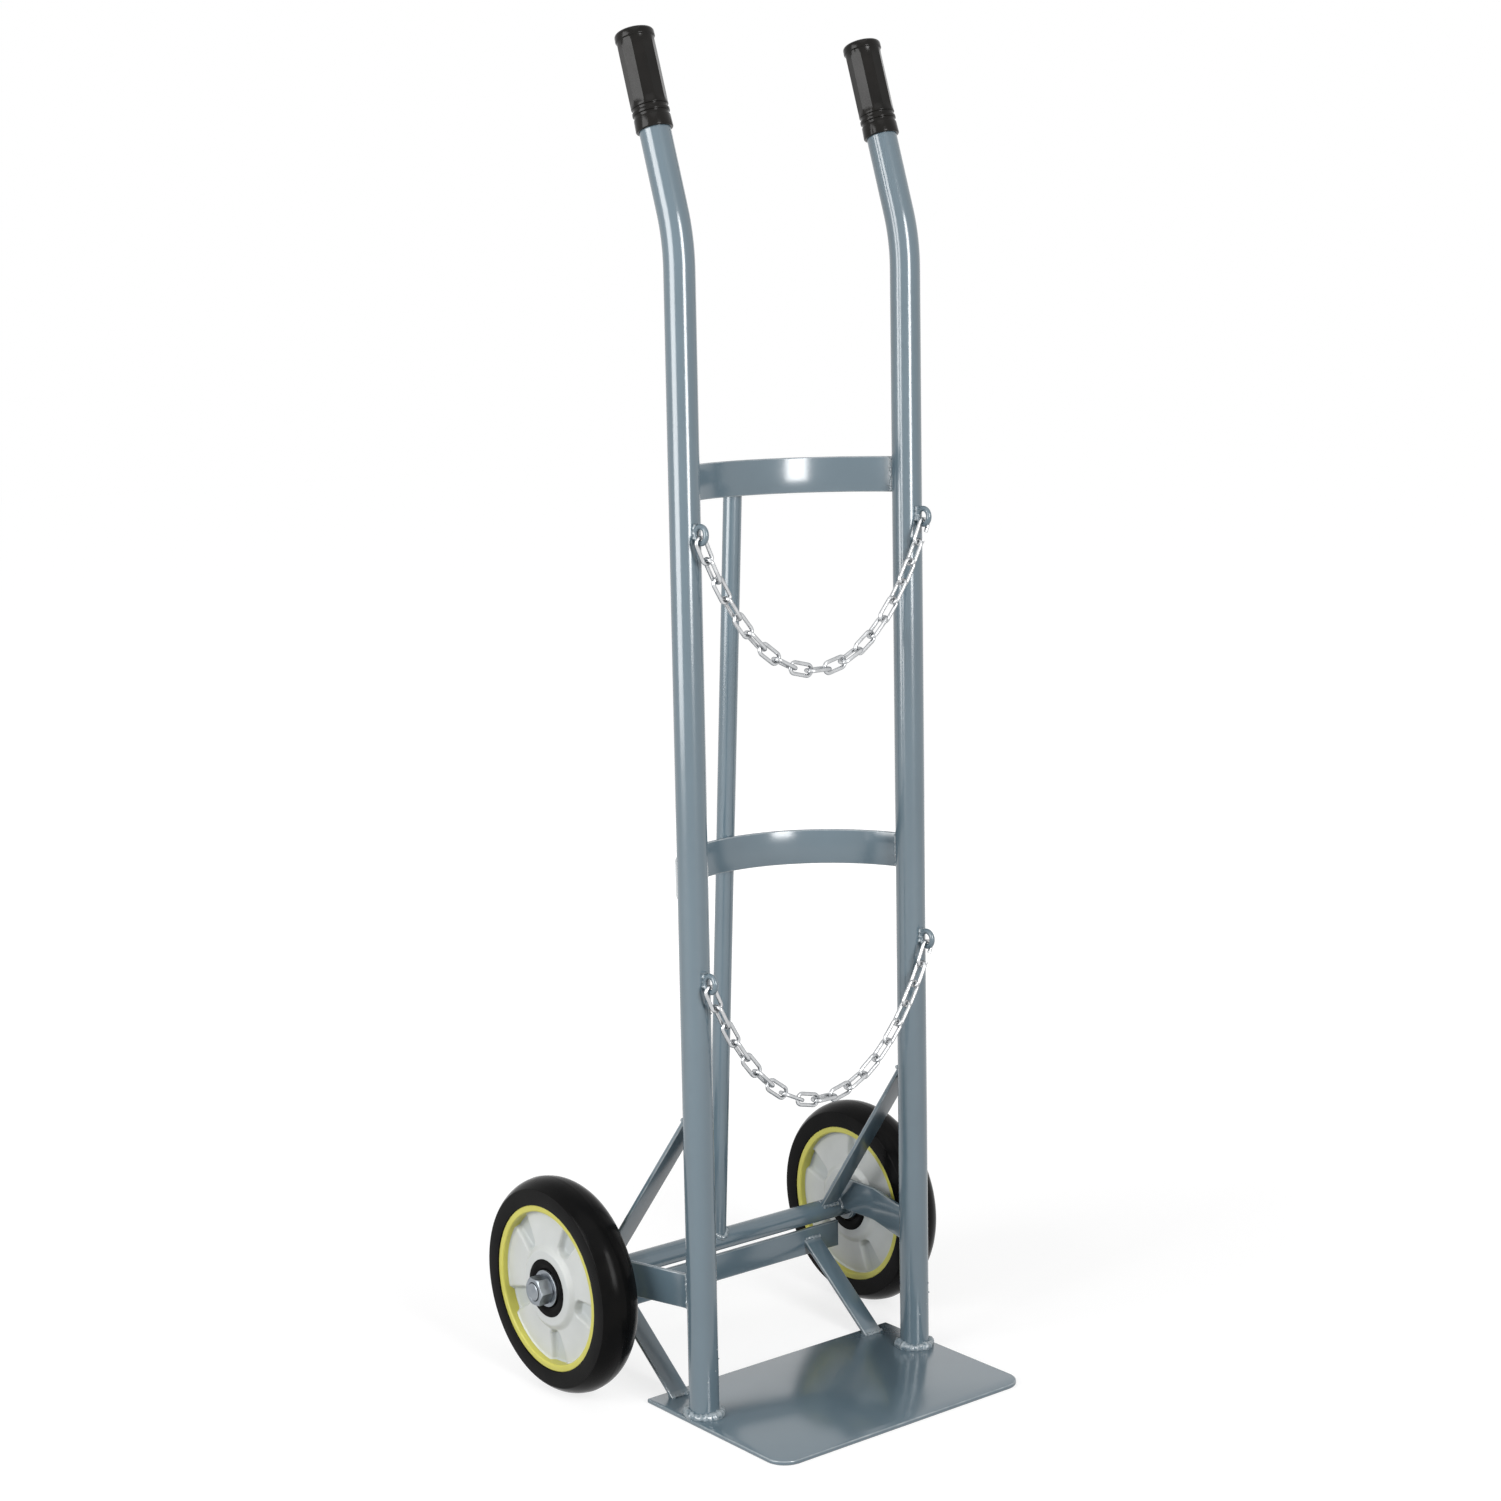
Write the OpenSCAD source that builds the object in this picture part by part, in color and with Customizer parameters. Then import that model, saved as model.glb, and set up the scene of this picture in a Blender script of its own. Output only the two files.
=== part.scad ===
// Two-wheeled trolley for one tall round load that stands on a toe plate and is held by chains.
// X runs across the trolley, the toe plate points to -Y, the wheels are at +Y, Z is up.
// The origin lies on the floor under the toe plate, midway between the feet of the uprights.

/* [Toe plate] */
// Edge of the plate that shows on the outer side of each upright
plate_side_margin = 4.5; // [4:0.5:40]
// Reach of the plate in front of the uprights
plate_front = 131; // [100:1:180]
// Reach of the plate behind the uprights
plate_rear = 62; // [50:1:80]
// Thickness of the plate
plate_thickness = 4; // [3:0.5:8]
// Radius of the two front corners
plate_corner_radius = 20; // [5:1:40]

/* [Uprights] */
// Distance between the two tube axes
upright_spacing = 252; // [220:2:300]
// Outer diameter of the tube
tube_diameter = 27; // [24:0.5:30]
// Wall of the tube
tube_wall = 2.5; // [1.5:0.1:4]
// Height at which the axes of the tube and its handle cross
bend_height = 1035; // [950:5:1150]
// Backward lean of the handle
bend_angle = 18; // [8:1:30]
// Radius of the bend on the tube axis
bend_radius = 160; // [90:5:220]
// Bare handle from the bend to the grip
handle_length = 95; // [60:1:140]

/* [Grips] */
// Length of the grip
grip_length = 88; // [70:1:130]
// Diameter of the grip's body
grip_diameter = 32; // [31:0.5:33.5]
// Diameter of the flange at the closed end
grip_flange_diameter = 34; // [33:0.5:40]
// Length of the flange
grip_flange_length = 9; // [5:0.5:14]
// Thickness of the closed end
grip_end_wall = 5; // [3:0.5:8]
// Length of the plain collar at the open end
grip_collar_length = 11; // [8:0.5:16]
// Width of each groove between the rings at the open end
grip_groove = 3; // [2:0.25:4]
// Radial gap between grip and tube
grip_fit = 0.1; // [0.05:0.05:0.2]

/* [Cradle bands] */
// Height of the middle of the upper band
upper_band_height = 827; // [780:1:880]
// Height of the middle of the middle band
middle_band_height = 481; // [450:1:560]
// Backward bow of the upper band
upper_band_bow = 82; // [70:1:90]
// Height of the flat bar
band_depth = 32; // [20:1:40]
// Thickness of the flat bar
band_thickness = 4; // [3:0.5:6]

/* [Back post] */
// Outer diameter of the post
post_diameter = 17; // [14:0.5:22]
// Wall of the post
post_wall = 2; // [1.5:0.1:3]
// How far the post ends below the top of the upper band
post_drop = 6; // [2:1:20]

/* [Axle and braces] */
// Distance of the axle behind the uprights
axle_setback = 140; // [130:1:160]
// Diameter of the axle
axle_diameter = 20; // [18:0.5:22]
// Slit between the axle and the flat bar under it
rib_gap = 4; // [0:0.5:8]
// Height of the flat bar under the axle
rib_depth = 26; // [20:1:36]
// Thickness of the flat bar under the axle
rib_thickness = 4.5; // [3:0.5:6]
// How far the flat bar under the axle runs on past each upright
rib_overhang = 24; // [0:1:27]
// Height of the middle of the arms
arm_height = 116; // [110:1:124]
// Height of the arms' flat bar
arm_depth = 32; // [24:1:36]
// Thickness of the arms' flat bar
arm_thickness = 4; // [3:0.5:6]
// How far outside the uprights the arms meet the axle
arm_splay = 25; // [22:1:27]
// Distance behind the uprights at which the arms start to turn outwards
arm_bend_start = 14; // [12:1:30]
// Distance behind the uprights at which the arms run straight back again
arm_bend_end = 85; // [75:1:95]
// Width of the stays' flat bar
stay_width = 20; // [14:1:22]
// Thickness of the stays' flat bar
stay_thickness = 4; // [3:0.5:6]
// Height at which the upper stays meet the uprights
upper_stay_height = 272; // [230:1:320]
// How far outside the uprights the upper stays meet the axle
upper_stay_splay = 9; // [0:1:10]
// How far inside the uprights the lower stays stand
lower_stay_offset = 10; // [0:1:30]
// Distance from the plate's rear edge to the foot of the lower stays
lower_stay_inset = 12; // [8:1:16]

/* [Wheels] */
// Diameter of the wheel
wheel_diameter = 200; // [190:1:220]
// Distance of a wheel's middle outside its upright
wheel_offset = 54; // [54:1:90]
// Width of the tyre
tyre_width = 38; // [30:1:40]
// Radius of the tyre's crown
tyre_crown_radius = 26; // [22:1:60]
// Outer diameter of the rim
rim_diameter = 153; // [140:1:160]
// Radial thickness of the rim
rim_wall = 6; // [3:0.5:7]
// Width of the rim
rim_width = 36; // [28:1:38]
// Diameter of the hub's middle boss
hub_boss_diameter = 70; // [60:1:80]
// Thickness of the hub's web at the rim
hub_web_width = 22; // [18:0.5:24]
// Thickness of the hub's web at the boss
hub_root_width = 26; // [24.5:0.5:30]
// How far the boss stands out from the bearings on each side
hub_lip = 1; // [0.5:0.25:2]
// Slope of the boss, measured along the radius
hub_boss_slope = 4; // [3:0.5:9]
// Number of pockets on each face of the hub
pocket_count = 5; // [4:1:8]
// Depth of the pockets below the web's edge at the rim
pocket_depth = 4.5; // [2:0.5:6]
// Width of the pockets, as an angle
pocket_angle = 18; // [14:1:32]
// Turn of the first pocket round the wheel
pocket_start = 43; // [0:1:72]
// Wall left between the pockets and the boss
pocket_margin = 2; // [1.5:0.5:5]

/* [Bearings] */
// Outer diameter of the bearings
bearing_diameter = 47; // [45:1:52]
// Width of the bearings
bearing_width = 14; // [12:1:16]
// Length of the spacer between the two bearings
bearing_spacing = 4; // [2:0.5:8]
// Radial wall of the bearing rings at their shoulders
bearing_ring_wall = 4.2; // [3.6:0.1:4.4]
// Diameter of the balls
ball_diameter = 7.4; // [6.5:0.1:7.6]
// Number of balls in each bearing
ball_count = 8; // [6:1:9]
// Radial gap round the balls
ball_gap = 0.3; // [0.2:0.05:0.4]
// Thickness of the seals
seal_thickness = 1; // [0.6:0.1:1.4]
// Depth of the seals below the face of the bearing
seal_recess = 0.8; // [0.5:0.1:1]
// Gap between the seals and the inner rings
seal_gap = 0.4; // [0.3:0.05:0.6]
// Radial gap of the bearing seats
bearing_fit = 0.02; // [0.01:0.01:0.05]

/* [Wheel fastening] */
// Diameter of the threaded axle ends
thread_diameter = 16; // [12:1:17]
// Length of the axle end that stands out of the nut
thread_end = 1; // [0.5:0.5:5]
// Width of the nut across its flats
nut_across_flats = 24; // [22:0.5:27]
// Thickness of the nut
nut_thickness = 13; // [8:0.5:16]
// Radial gap of nut and washer on the thread
thread_fit = 0.1; // [0.05:0.05:0.3]
// Diameter of the washer
washer_diameter = 34; // [30:0.5:37]
// Thickness of the washer
washer_thickness = 2.5; // [1.5:0.5:4]
// Diameter of the stop collar behind the wheel
collar_diameter = 30; // [26:1:36]
// Width of the stop collar behind the wheel
collar_width = 5; // [4:0.5:8]

/* [Chains] */
// Height of the upper chain eyes
upper_eye_height = 790; // [740:5:805]
// Height of the lower chain eyes
lower_eye_height = 402; // [340:5:460]
// Wire of the eyes
eye_wire = 5; // [4:0.5:6]
// Radius of the eyes on the wire's axis
eye_radius = 7; // [6.5:0.5:9]
// How far the eyes bite into the front of the tube
eye_bite = 1; // [0.5:0.25:2]
// Wire of the links
link_wire = 3.5; // [3:0.25:4]
// Clear length inside a link
link_inside_length = 20; // [18:0.5:24]
// Clear width inside a link
link_inside_width = 6.5; // [6:0.25:8]
// Gap between neighbouring links
link_gap = 0.4; // [0.35:0.05:0.5]
// Chain length as a share of the distance between the eyes
chain_slack = 1.47; // [1.3:0.01:1.7]
// Length of the hook's free prong
hook_prong = 5; // [3:0.5:7]

/* [Weld beads] */
// Leg of the bead round the feet of the uprights
foot_weld = 4.5; // [2:0.5:8]

/* [Hidden] */
$fn = 64;
// Length by which cutting shapes run past what they cut
over = 1;
// How far the handle's wall stands proud of the bend that it takes up
handle_lap = 0.02;
paint = [0.49, 0.55, 0.58];
zinc = [0.78, 0.79, 0.8];
rubber = [0.12, 0.12, 0.12];
rim_yellow = [0.82, 0.79, 0.3];
hub_white = [0.88, 0.89, 0.88];

tube_radius = tube_diameter / 2;
upright_x = upright_spacing / 2;
plate_half = upright_x + tube_radius + plate_side_margin;
handle_total = handle_length + grip_length - grip_end_wall;
bend_tangent = bend_radius * tan(bend_angle / 2);

axle_z = wheel_diameter / 2;
axle_radius = axle_diameter / 2;
wheel_x = upright_x + wheel_offset;
bearing_stack = 2 * bearing_width + bearing_spacing;
axle_shoulder = wheel_x + bearing_stack / 2;
axle_end = axle_shoulder + washer_thickness + nut_thickness + thread_end;
thread_chamfer = thread_end / 2;

bearing_radius = bearing_diameter / 2;
inner_shoulder = axle_radius + bearing_ring_wall;
outer_shoulder = bearing_radius - bearing_ring_wall;
ball_circle = (inner_shoulder + outer_shoulder) / 2;
race_radius = ball_diameter / 2 + ball_gap;
bearing_offset = (bearing_spacing + bearing_width) / 2;
rim_bore_radius = rim_diameter / 2 - rim_wall;
hub_boss_radius = hub_boss_diameter / 2;
hub_boss_width = bearing_stack + 2 * hub_lip;

// The post stands on the axle and leans its top against the back of the upper band
post_radius = post_diameter / 2;
upper_band_top = upper_band_height + band_depth / 2;
upper_band_back = upper_band_bow + band_thickness / 2;
post_run = axle_setback - upper_band_back;
post_rise = upper_band_top - post_drop - axle_z;
post_lean = atan2(post_run, post_rise) - asin(post_radius / norm([post_run, post_rise]));
post_length = (post_rise + post_radius * sin(post_lean)) / cos(post_lean);
// Depth of the post's front at a height above the floor
function post_front(z) = axle_setback - (z - axle_z) * tan(post_lean) - post_radius / cos(post_lean);
middle_band_bow = post_front(middle_band_height + band_depth / 2) - band_thickness / 2;

rib_top = axle_z - axle_radius - rib_gap;
rib_front = axle_setback - rib_thickness / 2;
rib_half = upright_x + rib_overhang;
lower_stay_foot = plate_rear - lower_stay_inset;
lower_stay_top = rib_top - rib_depth / 2;

// Each chain hangs in the plane of its eyes as a row of equal links
link_bow_radius = (link_inside_width + link_wire) / 2;
link_straight = link_inside_length - link_inside_width;
link_pitch = link_inside_length - link_gap;
link_count = 2 * round((chain_slack * upright_spacing / link_pitch - 1) / 2) + 1;
link_middle = (link_count - 1) / 2;
eye_y = -(tube_radius + eye_radius + eye_wire / 2 - eye_bite);
// How far the row of links starts above the wire that it hangs from
eye_hold = (eye_wire + link_gap) / 2;
// Slope of a link, where pull is the chain's level pull in weights of one link
function link_slope(i, pull) = atan((i - link_middle) / pull);
function sum(list, i = 0) = i < len(list) ? list[i] + sum(list, i + 1) : 0;
function chain_run(pull, last) = link_pitch * sum([for (i = [0:1:last]) cos(link_slope(i, pull))]);
function chain_drop(pull, last) = link_pitch * sum([for (i = [0:1:last]) sin(link_slope(i, pull))]);
function chain_excess(pull) =
    chain_run(pull, link_count - 1) - upright_spacing - 2 * eye_hold * cos(link_slope(0, pull));
function chain_pull(low, high, steps) =
    steps == 0 ? (low + high) / 2
    : chain_excess((low + high) / 2) > 0 ? chain_pull(low, (low + high) / 2, steps - 1)
    : chain_pull((low + high) / 2, high, steps - 1);
hang_pull = chain_pull(0.01, 10 * link_count, 40);
hang_start_x = -upright_x - eye_hold * cos(link_slope(0, hang_pull));
hang_start_drop = eye_radius + eye_hold * sin(link_slope(0, hang_pull));

// Ring with a square section, between two radii
module ring(inner, outer, height) {
    difference() {
        cylinder(r = outer, h = height, center = true);
        cylinder(r = inner, h = height + 2 * over, center = true);
    }
}

// Straight piece of the upright's tube, its wall made thicker by a lap on both faces
module tube_piece(length, lap) {
    difference() {
        cylinder(r = tube_radius + lap, h = length);
        translate([0, 0, -over])
            cylinder(r = tube_radius - tube_wall - lap, h = length + 2 * over);
    }
}

// Place something on the handle's axis, a given length beyond the bend
module handle_place(length) {
    translate([0, 0, bend_height])
        rotate([-bend_angle, 0, 0])
            translate([0, 0, length])
                children();
}

// Outer face of both upright tubes below the bend, for cutting seats
module upright_posts() {
    for (side = [-1, 1])
        translate([side * upright_x, 0, 0])
            cylinder(r = tube_radius, h = bend_height - bend_tangent);
}

// Outer face of the axle bar, for cutting seats
module axle_bar() {
    translate([0, axle_setback, axle_z])
        rotate([0, 90, 0])
            cylinder(r = axle_radius, h = 2 * axle_shoulder, center = true);
}

// Flat bar between two points, its width lying across the trolley, run on at both ends
module flat_bar(from, to, width, thickness, run_on) {
    run = to - from;
    length = norm(run);
    translate(from)
        rotate([-atan2(run[1], run[2]), 0, 0])
            rotate([0, asin(run[0] / length), 0])
                translate([-width / 2, -thickness / 2, -run_on])
                    cube([width, thickness, length + 2 * run_on]);
}

// Place a wheel's piece: its axis points outwards from the middle of the wheel
module wheel_place(side) {
    translate([side * wheel_x, axle_setback, axle_z])
        rotate([0, side * 90, 0])
            children();
}

// Place a copy of a bearing's piece at both bearings of a wheel
module both_bearings() {
    for (end = [-1, 1])
        translate([0, 0, end * bearing_offset])
            children();
}

module base_plate() {
    corner_x = plate_half - plate_corner_radius;
    color(paint)
        linear_extrude(plate_thickness)
            union() {
                translate([-plate_half, plate_corner_radius - plate_front])
                    square([2 * plate_half, plate_front + plate_rear - plate_corner_radius]);
                translate([-corner_x, -plate_front])
                    square([2 * corner_x, 2 * plate_corner_radius]);
                for (side = [-1, 1])
                    translate([side * corner_x, plate_corner_radius - plate_front])
                        circle(r = plate_corner_radius);
            }
}

// Tube bent at the top, with the handle lapped over the end of the bend
module upright(side) {
    bend_start = bend_height - bend_tangent;
    color(paint)
        translate([side * upright_x, 0, 0])
            union() {
                translate([0, 0, plate_thickness])
                    tube_piece(bend_start - plate_thickness, 0);
                translate([0, bend_radius, bend_start])
                    rotate([90, 0, -90])
                        rotate_extrude(angle = bend_angle)
                            translate([bend_radius, 0])
                                difference() {
                                    circle(r = tube_radius);
                                    circle(r = tube_radius - tube_wall);
                                }
                handle_place(bend_tangent - over)
                    tube_piece(handle_total - bend_tangent + over, handle_lap);
            }
}

module grip(side) {
    body = grip_diameter / 2;
    bore = tube_radius + grip_fit;
    groove_floor = (body + bore) / 2;
    flange = grip_flange_diameter / 2;
    neck = grip_length - grip_flange_length;
    ring_start = grip_collar_length + grip_groove;
    ring_end = ring_start + grip_groove;
    body_start = ring_end + grip_groove;
    color(rubber)
        translate([side * upright_x, 0, 0])
            handle_place(handle_length)
                rotate_extrude()
                    polygon([
                        [bore, 0], [body, 0], [body, grip_collar_length], [groove_floor, grip_collar_length],
                        [groove_floor, ring_start], [body, ring_start], [body, ring_end],
                        [groove_floor, ring_end], [groove_floor, body_start],
                        [body, body_start], [body, neck], [flange, neck],
                        [flange, grip_length - grip_end_wall / 2], [body, grip_length], [0, grip_length],
                        [0, grip_length - grip_end_wall], [bore, grip_length - grip_end_wall]
                    ]);
}

// Flat bar bowed backwards between the uprights and cut to seat on the tubes
module cradle_band(height, bow) {
    radius = (upright_x * upright_x + bow * bow) / (2 * bow);
    sweep = 2 * atan2(upright_x, radius - bow);
    color(paint)
        difference() {
            translate([0, bow - radius, height])
                rotate([0, 0, 90 - sweep / 2])
                    rotate_extrude(angle = sweep)
                        translate([radius - band_thickness / 2, -band_depth / 2])
                            square([band_thickness, band_depth]);
            upright_posts();
        }
}

module back_post() {
    color(paint)
        difference() {
            translate([0, axle_setback, axle_z])
                rotate([post_lean, 0, 0])
                    difference() {
                        cylinder(r = post_radius, h = post_length);
                        translate([0, 0, -over])
                            cylinder(r = post_radius - post_wall, h = post_length + 2 * over);
                    }
            axle_bar();
        }
}

module axle() {
    thread = thread_diameter / 2;
    color(paint)
        translate([0, axle_setback, axle_z])
            rotate([0, 90, 0])
                rotate_extrude()
                    polygon([
                        [0, -axle_end], [thread - thread_chamfer, -axle_end],
                        [thread, thread_chamfer - axle_end], [thread, -axle_shoulder],
                        [axle_radius, -axle_shoulder], [axle_radius, axle_shoulder],
                        [thread, axle_shoulder], [thread, axle_end - thread_chamfer],
                        [thread - thread_chamfer, axle_end], [0, axle_end]
                    ]);
}

module axle_rib() {
    color(paint)
        translate([-rib_half, rib_front, rib_top - rib_depth])
            cube([2 * rib_half, rib_thickness, rib_depth]);
}

// Flat bar on edge from the side of an upright, set outwards on its way to the front of the axle
module axle_arm(side) {
    half = arm_thickness / 2;
    near = upright_x + tube_radius / 2 - half;
    far = upright_x + arm_splay;
    mitre = half * tan(atan2(far - near, arm_bend_end - arm_bend_start) / 2);
    color(paint)
        difference() {
            translate([0, 0, arm_height - arm_depth / 2])
                linear_extrude(arm_depth)
                    polygon([
                        [side * (near + half), 0], [side * (near + half), arm_bend_start - mitre],
                        [side * (far + half), arm_bend_end - mitre], [side * (far + half), axle_setback],
                        [side * (far - half), axle_setback], [side * (far - half), arm_bend_end + mitre],
                        [side * (near - half), arm_bend_start + mitre], [side * (near - half), 0]
                    ]);
            upright_posts();
            axle_bar();
        }
}

// Flat bar from the back of an upright down to the top of the axle
module upper_stay(side) {
    color(paint)
        difference() {
            flat_bar([side * upright_x, 0, upper_stay_height + tube_radius],
                [side * (upright_x + upper_stay_splay), axle_setback, axle_z],
                stay_width, stay_thickness, 0);
            upright_posts();
            axle_bar();
        }
}

// Flat bar from the back of the plate up to the front of the rib
module lower_stay(side) {
    reach = side * (upright_x - lower_stay_offset);
    color(paint)
        intersection() {
            flat_bar([reach, lower_stay_foot, plate_thickness], [reach, rib_front, lower_stay_top],
                stay_width, stay_thickness, stay_width);
            translate([reach - stay_width, 0, plate_thickness])
                cube([2 * stay_width, rib_front, axle_z]);
        }
}

// Two wire rings on the front of the uprights
module chain_eyes(height) {
    color(paint)
        difference() {
            for (side = [-1, 1])
                translate([side * upright_x, eye_y, height])
                    rotate([0, 90, 0])
                        rotate_extrude()
                            translate([eye_radius, 0])
                                circle(d = eye_wire);
            upright_posts();
        }
}

// Weld bead round the foot of each upright
module foot_welds() {
    leg = min(foot_weld, plate_side_margin);
    color(paint)
        for (side = [-1, 1])
            translate([side * upright_x, 0, plate_thickness])
                rotate_extrude()
                    polygon([
                        [tube_radius, 0], [tube_radius + leg, 0], [tube_radius, leg]
                    ]);
}

module tyre(side) {
    bore = rim_diameter / 2;
    color(rubber)
        wheel_place(side)
            rotate_extrude()
                intersection() {
                    translate([bore, -tyre_width / 2])
                        square([axle_z - bore, tyre_width]);
                    translate([axle_z - tyre_crown_radius, 0])
                        circle(r = tyre_crown_radius);
                }
}

module rim(side) {
    color(rim_yellow)
        wheel_place(side)
            ring(rim_bore_radius, rim_diameter / 2, rim_width);
}

module hub(side) {
    seat = bearing_radius + bearing_fit;
    land = bearing_spacing / 2;
    face = hub_boss_width / 2;
    root = hub_root_width / 2;
    web = hub_web_width / 2;
    half_profile = [
        [outer_shoulder, land], [seat, land], [seat, face], [hub_boss_radius, face],
        [hub_boss_radius + hub_boss_slope, root], [rim_bore_radius, web]
    ];
    last = len(half_profile) - 1;
    other_half = [for (i = [last:-1:0]) [half_profile[i][0], -half_profile[i][1]]];
    color(hub_white)
        wheel_place(side)
            difference() {
                rotate_extrude()
                    polygon(concat(half_profile, other_half));
                for (end = [-1, 1], i = [0:1:pocket_count - 1])
                    rotate([0, 0, pocket_start + i * 360 / pocket_count])
                        translate([0, 0, end * (web - pocket_depth + root) / 2])
                            hub_pocket(root - web + pocket_depth);
            }
}

// One wedge-shaped pocket of the hub, open to the rim and cut to a level floor
module hub_pocket(height) {
    inner = hub_boss_radius + hub_boss_slope + pocket_margin;
    reach = rim_bore_radius + over;
    wedge = reach * tan(pocket_angle / 2);
    linear_extrude(height, center = true)
        difference() {
            polygon([[0, 0], [reach, -wedge], [reach, wedge]]);
            circle(r = inner);
        }
}

module bearing_outer_rings(side) {
    color(zinc)
        wheel_place(side)
            both_bearings()
                rotate_extrude()
                    difference() {
                        translate([outer_shoulder, -bearing_width / 2])
                            square([bearing_ring_wall, bearing_width]);
                        translate([ball_circle, 0])
                            circle(r = race_radius);
                    }
}

module bearing_inner_rings(side) {
    color(zinc)
        wheel_place(side)
            both_bearings()
                rotate_extrude()
                    difference() {
                        translate([axle_radius + bearing_fit, -bearing_width / 2])
                            square([bearing_ring_wall - bearing_fit, bearing_width]);
                        translate([ball_circle, 0])
                            circle(r = race_radius);
                    }
}

module bearing_balls(side) {
    color(zinc)
        wheel_place(side)
            both_bearings()
                for (i = [0:1:ball_count - 1])
                    rotate([0, 0, i * 360 / ball_count])
                        translate([ball_circle, 0, 0])
                            sphere(d = ball_diameter);
}

// Flat rings that close the bearings, held in the outer rings
module bearing_seals(side) {
    depth = bearing_width / 2 - seal_recess - seal_thickness / 2;
    color(rubber)
        wheel_place(side)
            both_bearings()
                for (end = [-1, 1])
                    translate([0, 0, end * depth])
                        ring(inner_shoulder + seal_gap, outer_shoulder, seal_thickness);
}

module bearing_spacer(side) {
    color(zinc)
        wheel_place(side)
            ring(axle_radius + bearing_fit, inner_shoulder, bearing_spacing);
}

module axle_collar(side) {
    color(paint)
        wheel_place(side)
            translate([0, 0, -(bearing_stack + collar_width) / 2])
                ring(axle_radius + bearing_fit, collar_diameter / 2, collar_width);
}

module washer(side) {
    color(zinc)
        wheel_place(side)
            translate([0, 0, (bearing_stack + washer_thickness) / 2])
                ring(thread_diameter / 2 + thread_fit, washer_diameter / 2, washer_thickness);
}

// Hexagon nut with both ends chamfered
module axle_nut(side) {
    corner = nut_across_flats / sqrt(3);
    flat = nut_across_flats / 2;
    bore = thread_diameter / 2 + thread_fit;
    drop = (corner - flat) / 2;
    half = nut_thickness / 2;
    color(zinc)
        wheel_place(side)
            translate([0, 0, bearing_stack / 2 + washer_thickness + half])
                difference() {
                    intersection() {
                        cylinder(r = corner, h = nut_thickness, center = true, $fn = 6);
                        rotate_extrude()
                            polygon([
                                [0, -half], [flat, -half], [corner, drop - half],
                                [corner, half - drop], [flat, half], [0, half]
                            ]);
                    }
                    cylinder(r = bore, h = nut_thickness + 2 * over, center = true);
                }
}

// Half ring of wire at one end of a link
module link_bow(end) {
    translate([end * link_straight / 2, 0, 0])
        rotate([0, 0, -end * 90])
            rotate_extrude(angle = 180)
                translate([link_bow_radius, 0])
                    circle(d = link_wire);
}

// Straight wire on one side of a link, from one end bow
module link_side(flank, start, length) {
    translate([start, flank * link_bow_radius, 0])
        rotate([0, 90, 0])
            cylinder(d = link_wire, h = length);
}

// Closed link along X, lying flat
module closed_link() {
    for (end = [-1, 1])
        link_bow(end);
    for (flank = [-1, 1])
        link_side(flank, -link_straight / 2, link_straight);
}

// Link with one side left open, so that it comes off its eye
module open_link() {
    for (end = [-1, 1])
        link_bow(end);
    link_side(1, -link_straight / 2, link_straight);
    link_side(-1, link_straight / 2 - hook_prong, hook_prong);
}

// Place link number i of a chain that hangs from eyes at a given height
module link_place(i, height) {
    slope = link_slope(i, hang_pull);
    run = chain_run(hang_pull, i - 1) + link_pitch / 2 * cos(slope);
    drop = chain_drop(hang_pull, i - 1) + link_pitch / 2 * sin(slope);
    roll = i % 2 == 0 ? 90 : 0;
    translate([hang_start_x + run, eye_y, height - hang_start_drop + drop])
        rotate([0, -slope, 0])
            rotate([roll, 0, 0])
                children();
}

module chain_links(height) {
    color(zinc)
        for (i = [0:1:link_count - 2])
            link_place(i, height)
                closed_link();
}

module chain_hook(height) {
    color(zinc)
        link_place(link_count - 1, height)
            open_link();
}

base_plate();
upright(-1);  // left_upright
upright(1);  // right_upright
grip(-1);  // left_grip
grip(1);  // right_grip
cradle_band(upper_band_height, upper_band_bow);  // upper_band
cradle_band(middle_band_height, middle_band_bow);  // middle_band
back_post();
axle();
axle_rib();
axle_arm(-1);  // left_axle_arm
axle_arm(1);  // right_axle_arm
upper_stay(-1);  // left_upper_stay
upper_stay(1);  // right_upper_stay
lower_stay(-1);  // left_lower_stay
lower_stay(1);  // right_lower_stay
chain_eyes(upper_eye_height);  // upper_chain_eyes
chain_eyes(lower_eye_height);  // lower_chain_eyes
foot_welds();
tyre(-1);  // left_tyre
rim(-1);  // left_rim
hub(-1);  // left_hub
bearing_outer_rings(-1);  // left_bearing_outer_rings
bearing_inner_rings(-1);  // left_bearing_inner_rings
bearing_balls(-1);  // left_bearing_balls
bearing_seals(-1);  // left_bearing_seals
bearing_spacer(-1);  // left_bearing_spacer
axle_collar(-1);  // left_axle_collar
washer(-1);  // left_washer
axle_nut(-1);  // left_axle_nut
tyre(1);  // right_tyre
rim(1);  // right_rim
hub(1);  // right_hub
bearing_outer_rings(1);  // right_bearing_outer_rings
bearing_inner_rings(1);  // right_bearing_inner_rings
bearing_balls(1);  // right_bearing_balls
bearing_seals(1);  // right_bearing_seals
bearing_spacer(1);  // right_bearing_spacer
axle_collar(1);  // right_axle_collar
washer(1);  // right_washer
axle_nut(1);  // right_axle_nut
chain_links(upper_eye_height);  // upper_chain_links
chain_hook(upper_eye_height);  // upper_chain_hook
chain_links(lower_eye_height);  // lower_chain_links
chain_hook(lower_eye_height);  // lower_chain_hook
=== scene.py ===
"""Looks of a two-wheeled trolley: welded tube frame, hanging chains, rubber grips and ball-bearing wheels.

Lengths are written in millimetres and become metres when a mesh is made.
X runs across the trolley, the toe plate points to -Y, the wheels are at +Y, Z is up.
"""

from math import asin, atan, atan2, cos, degrees, hypot, pi, radians, sin, sqrt, tan

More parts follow.
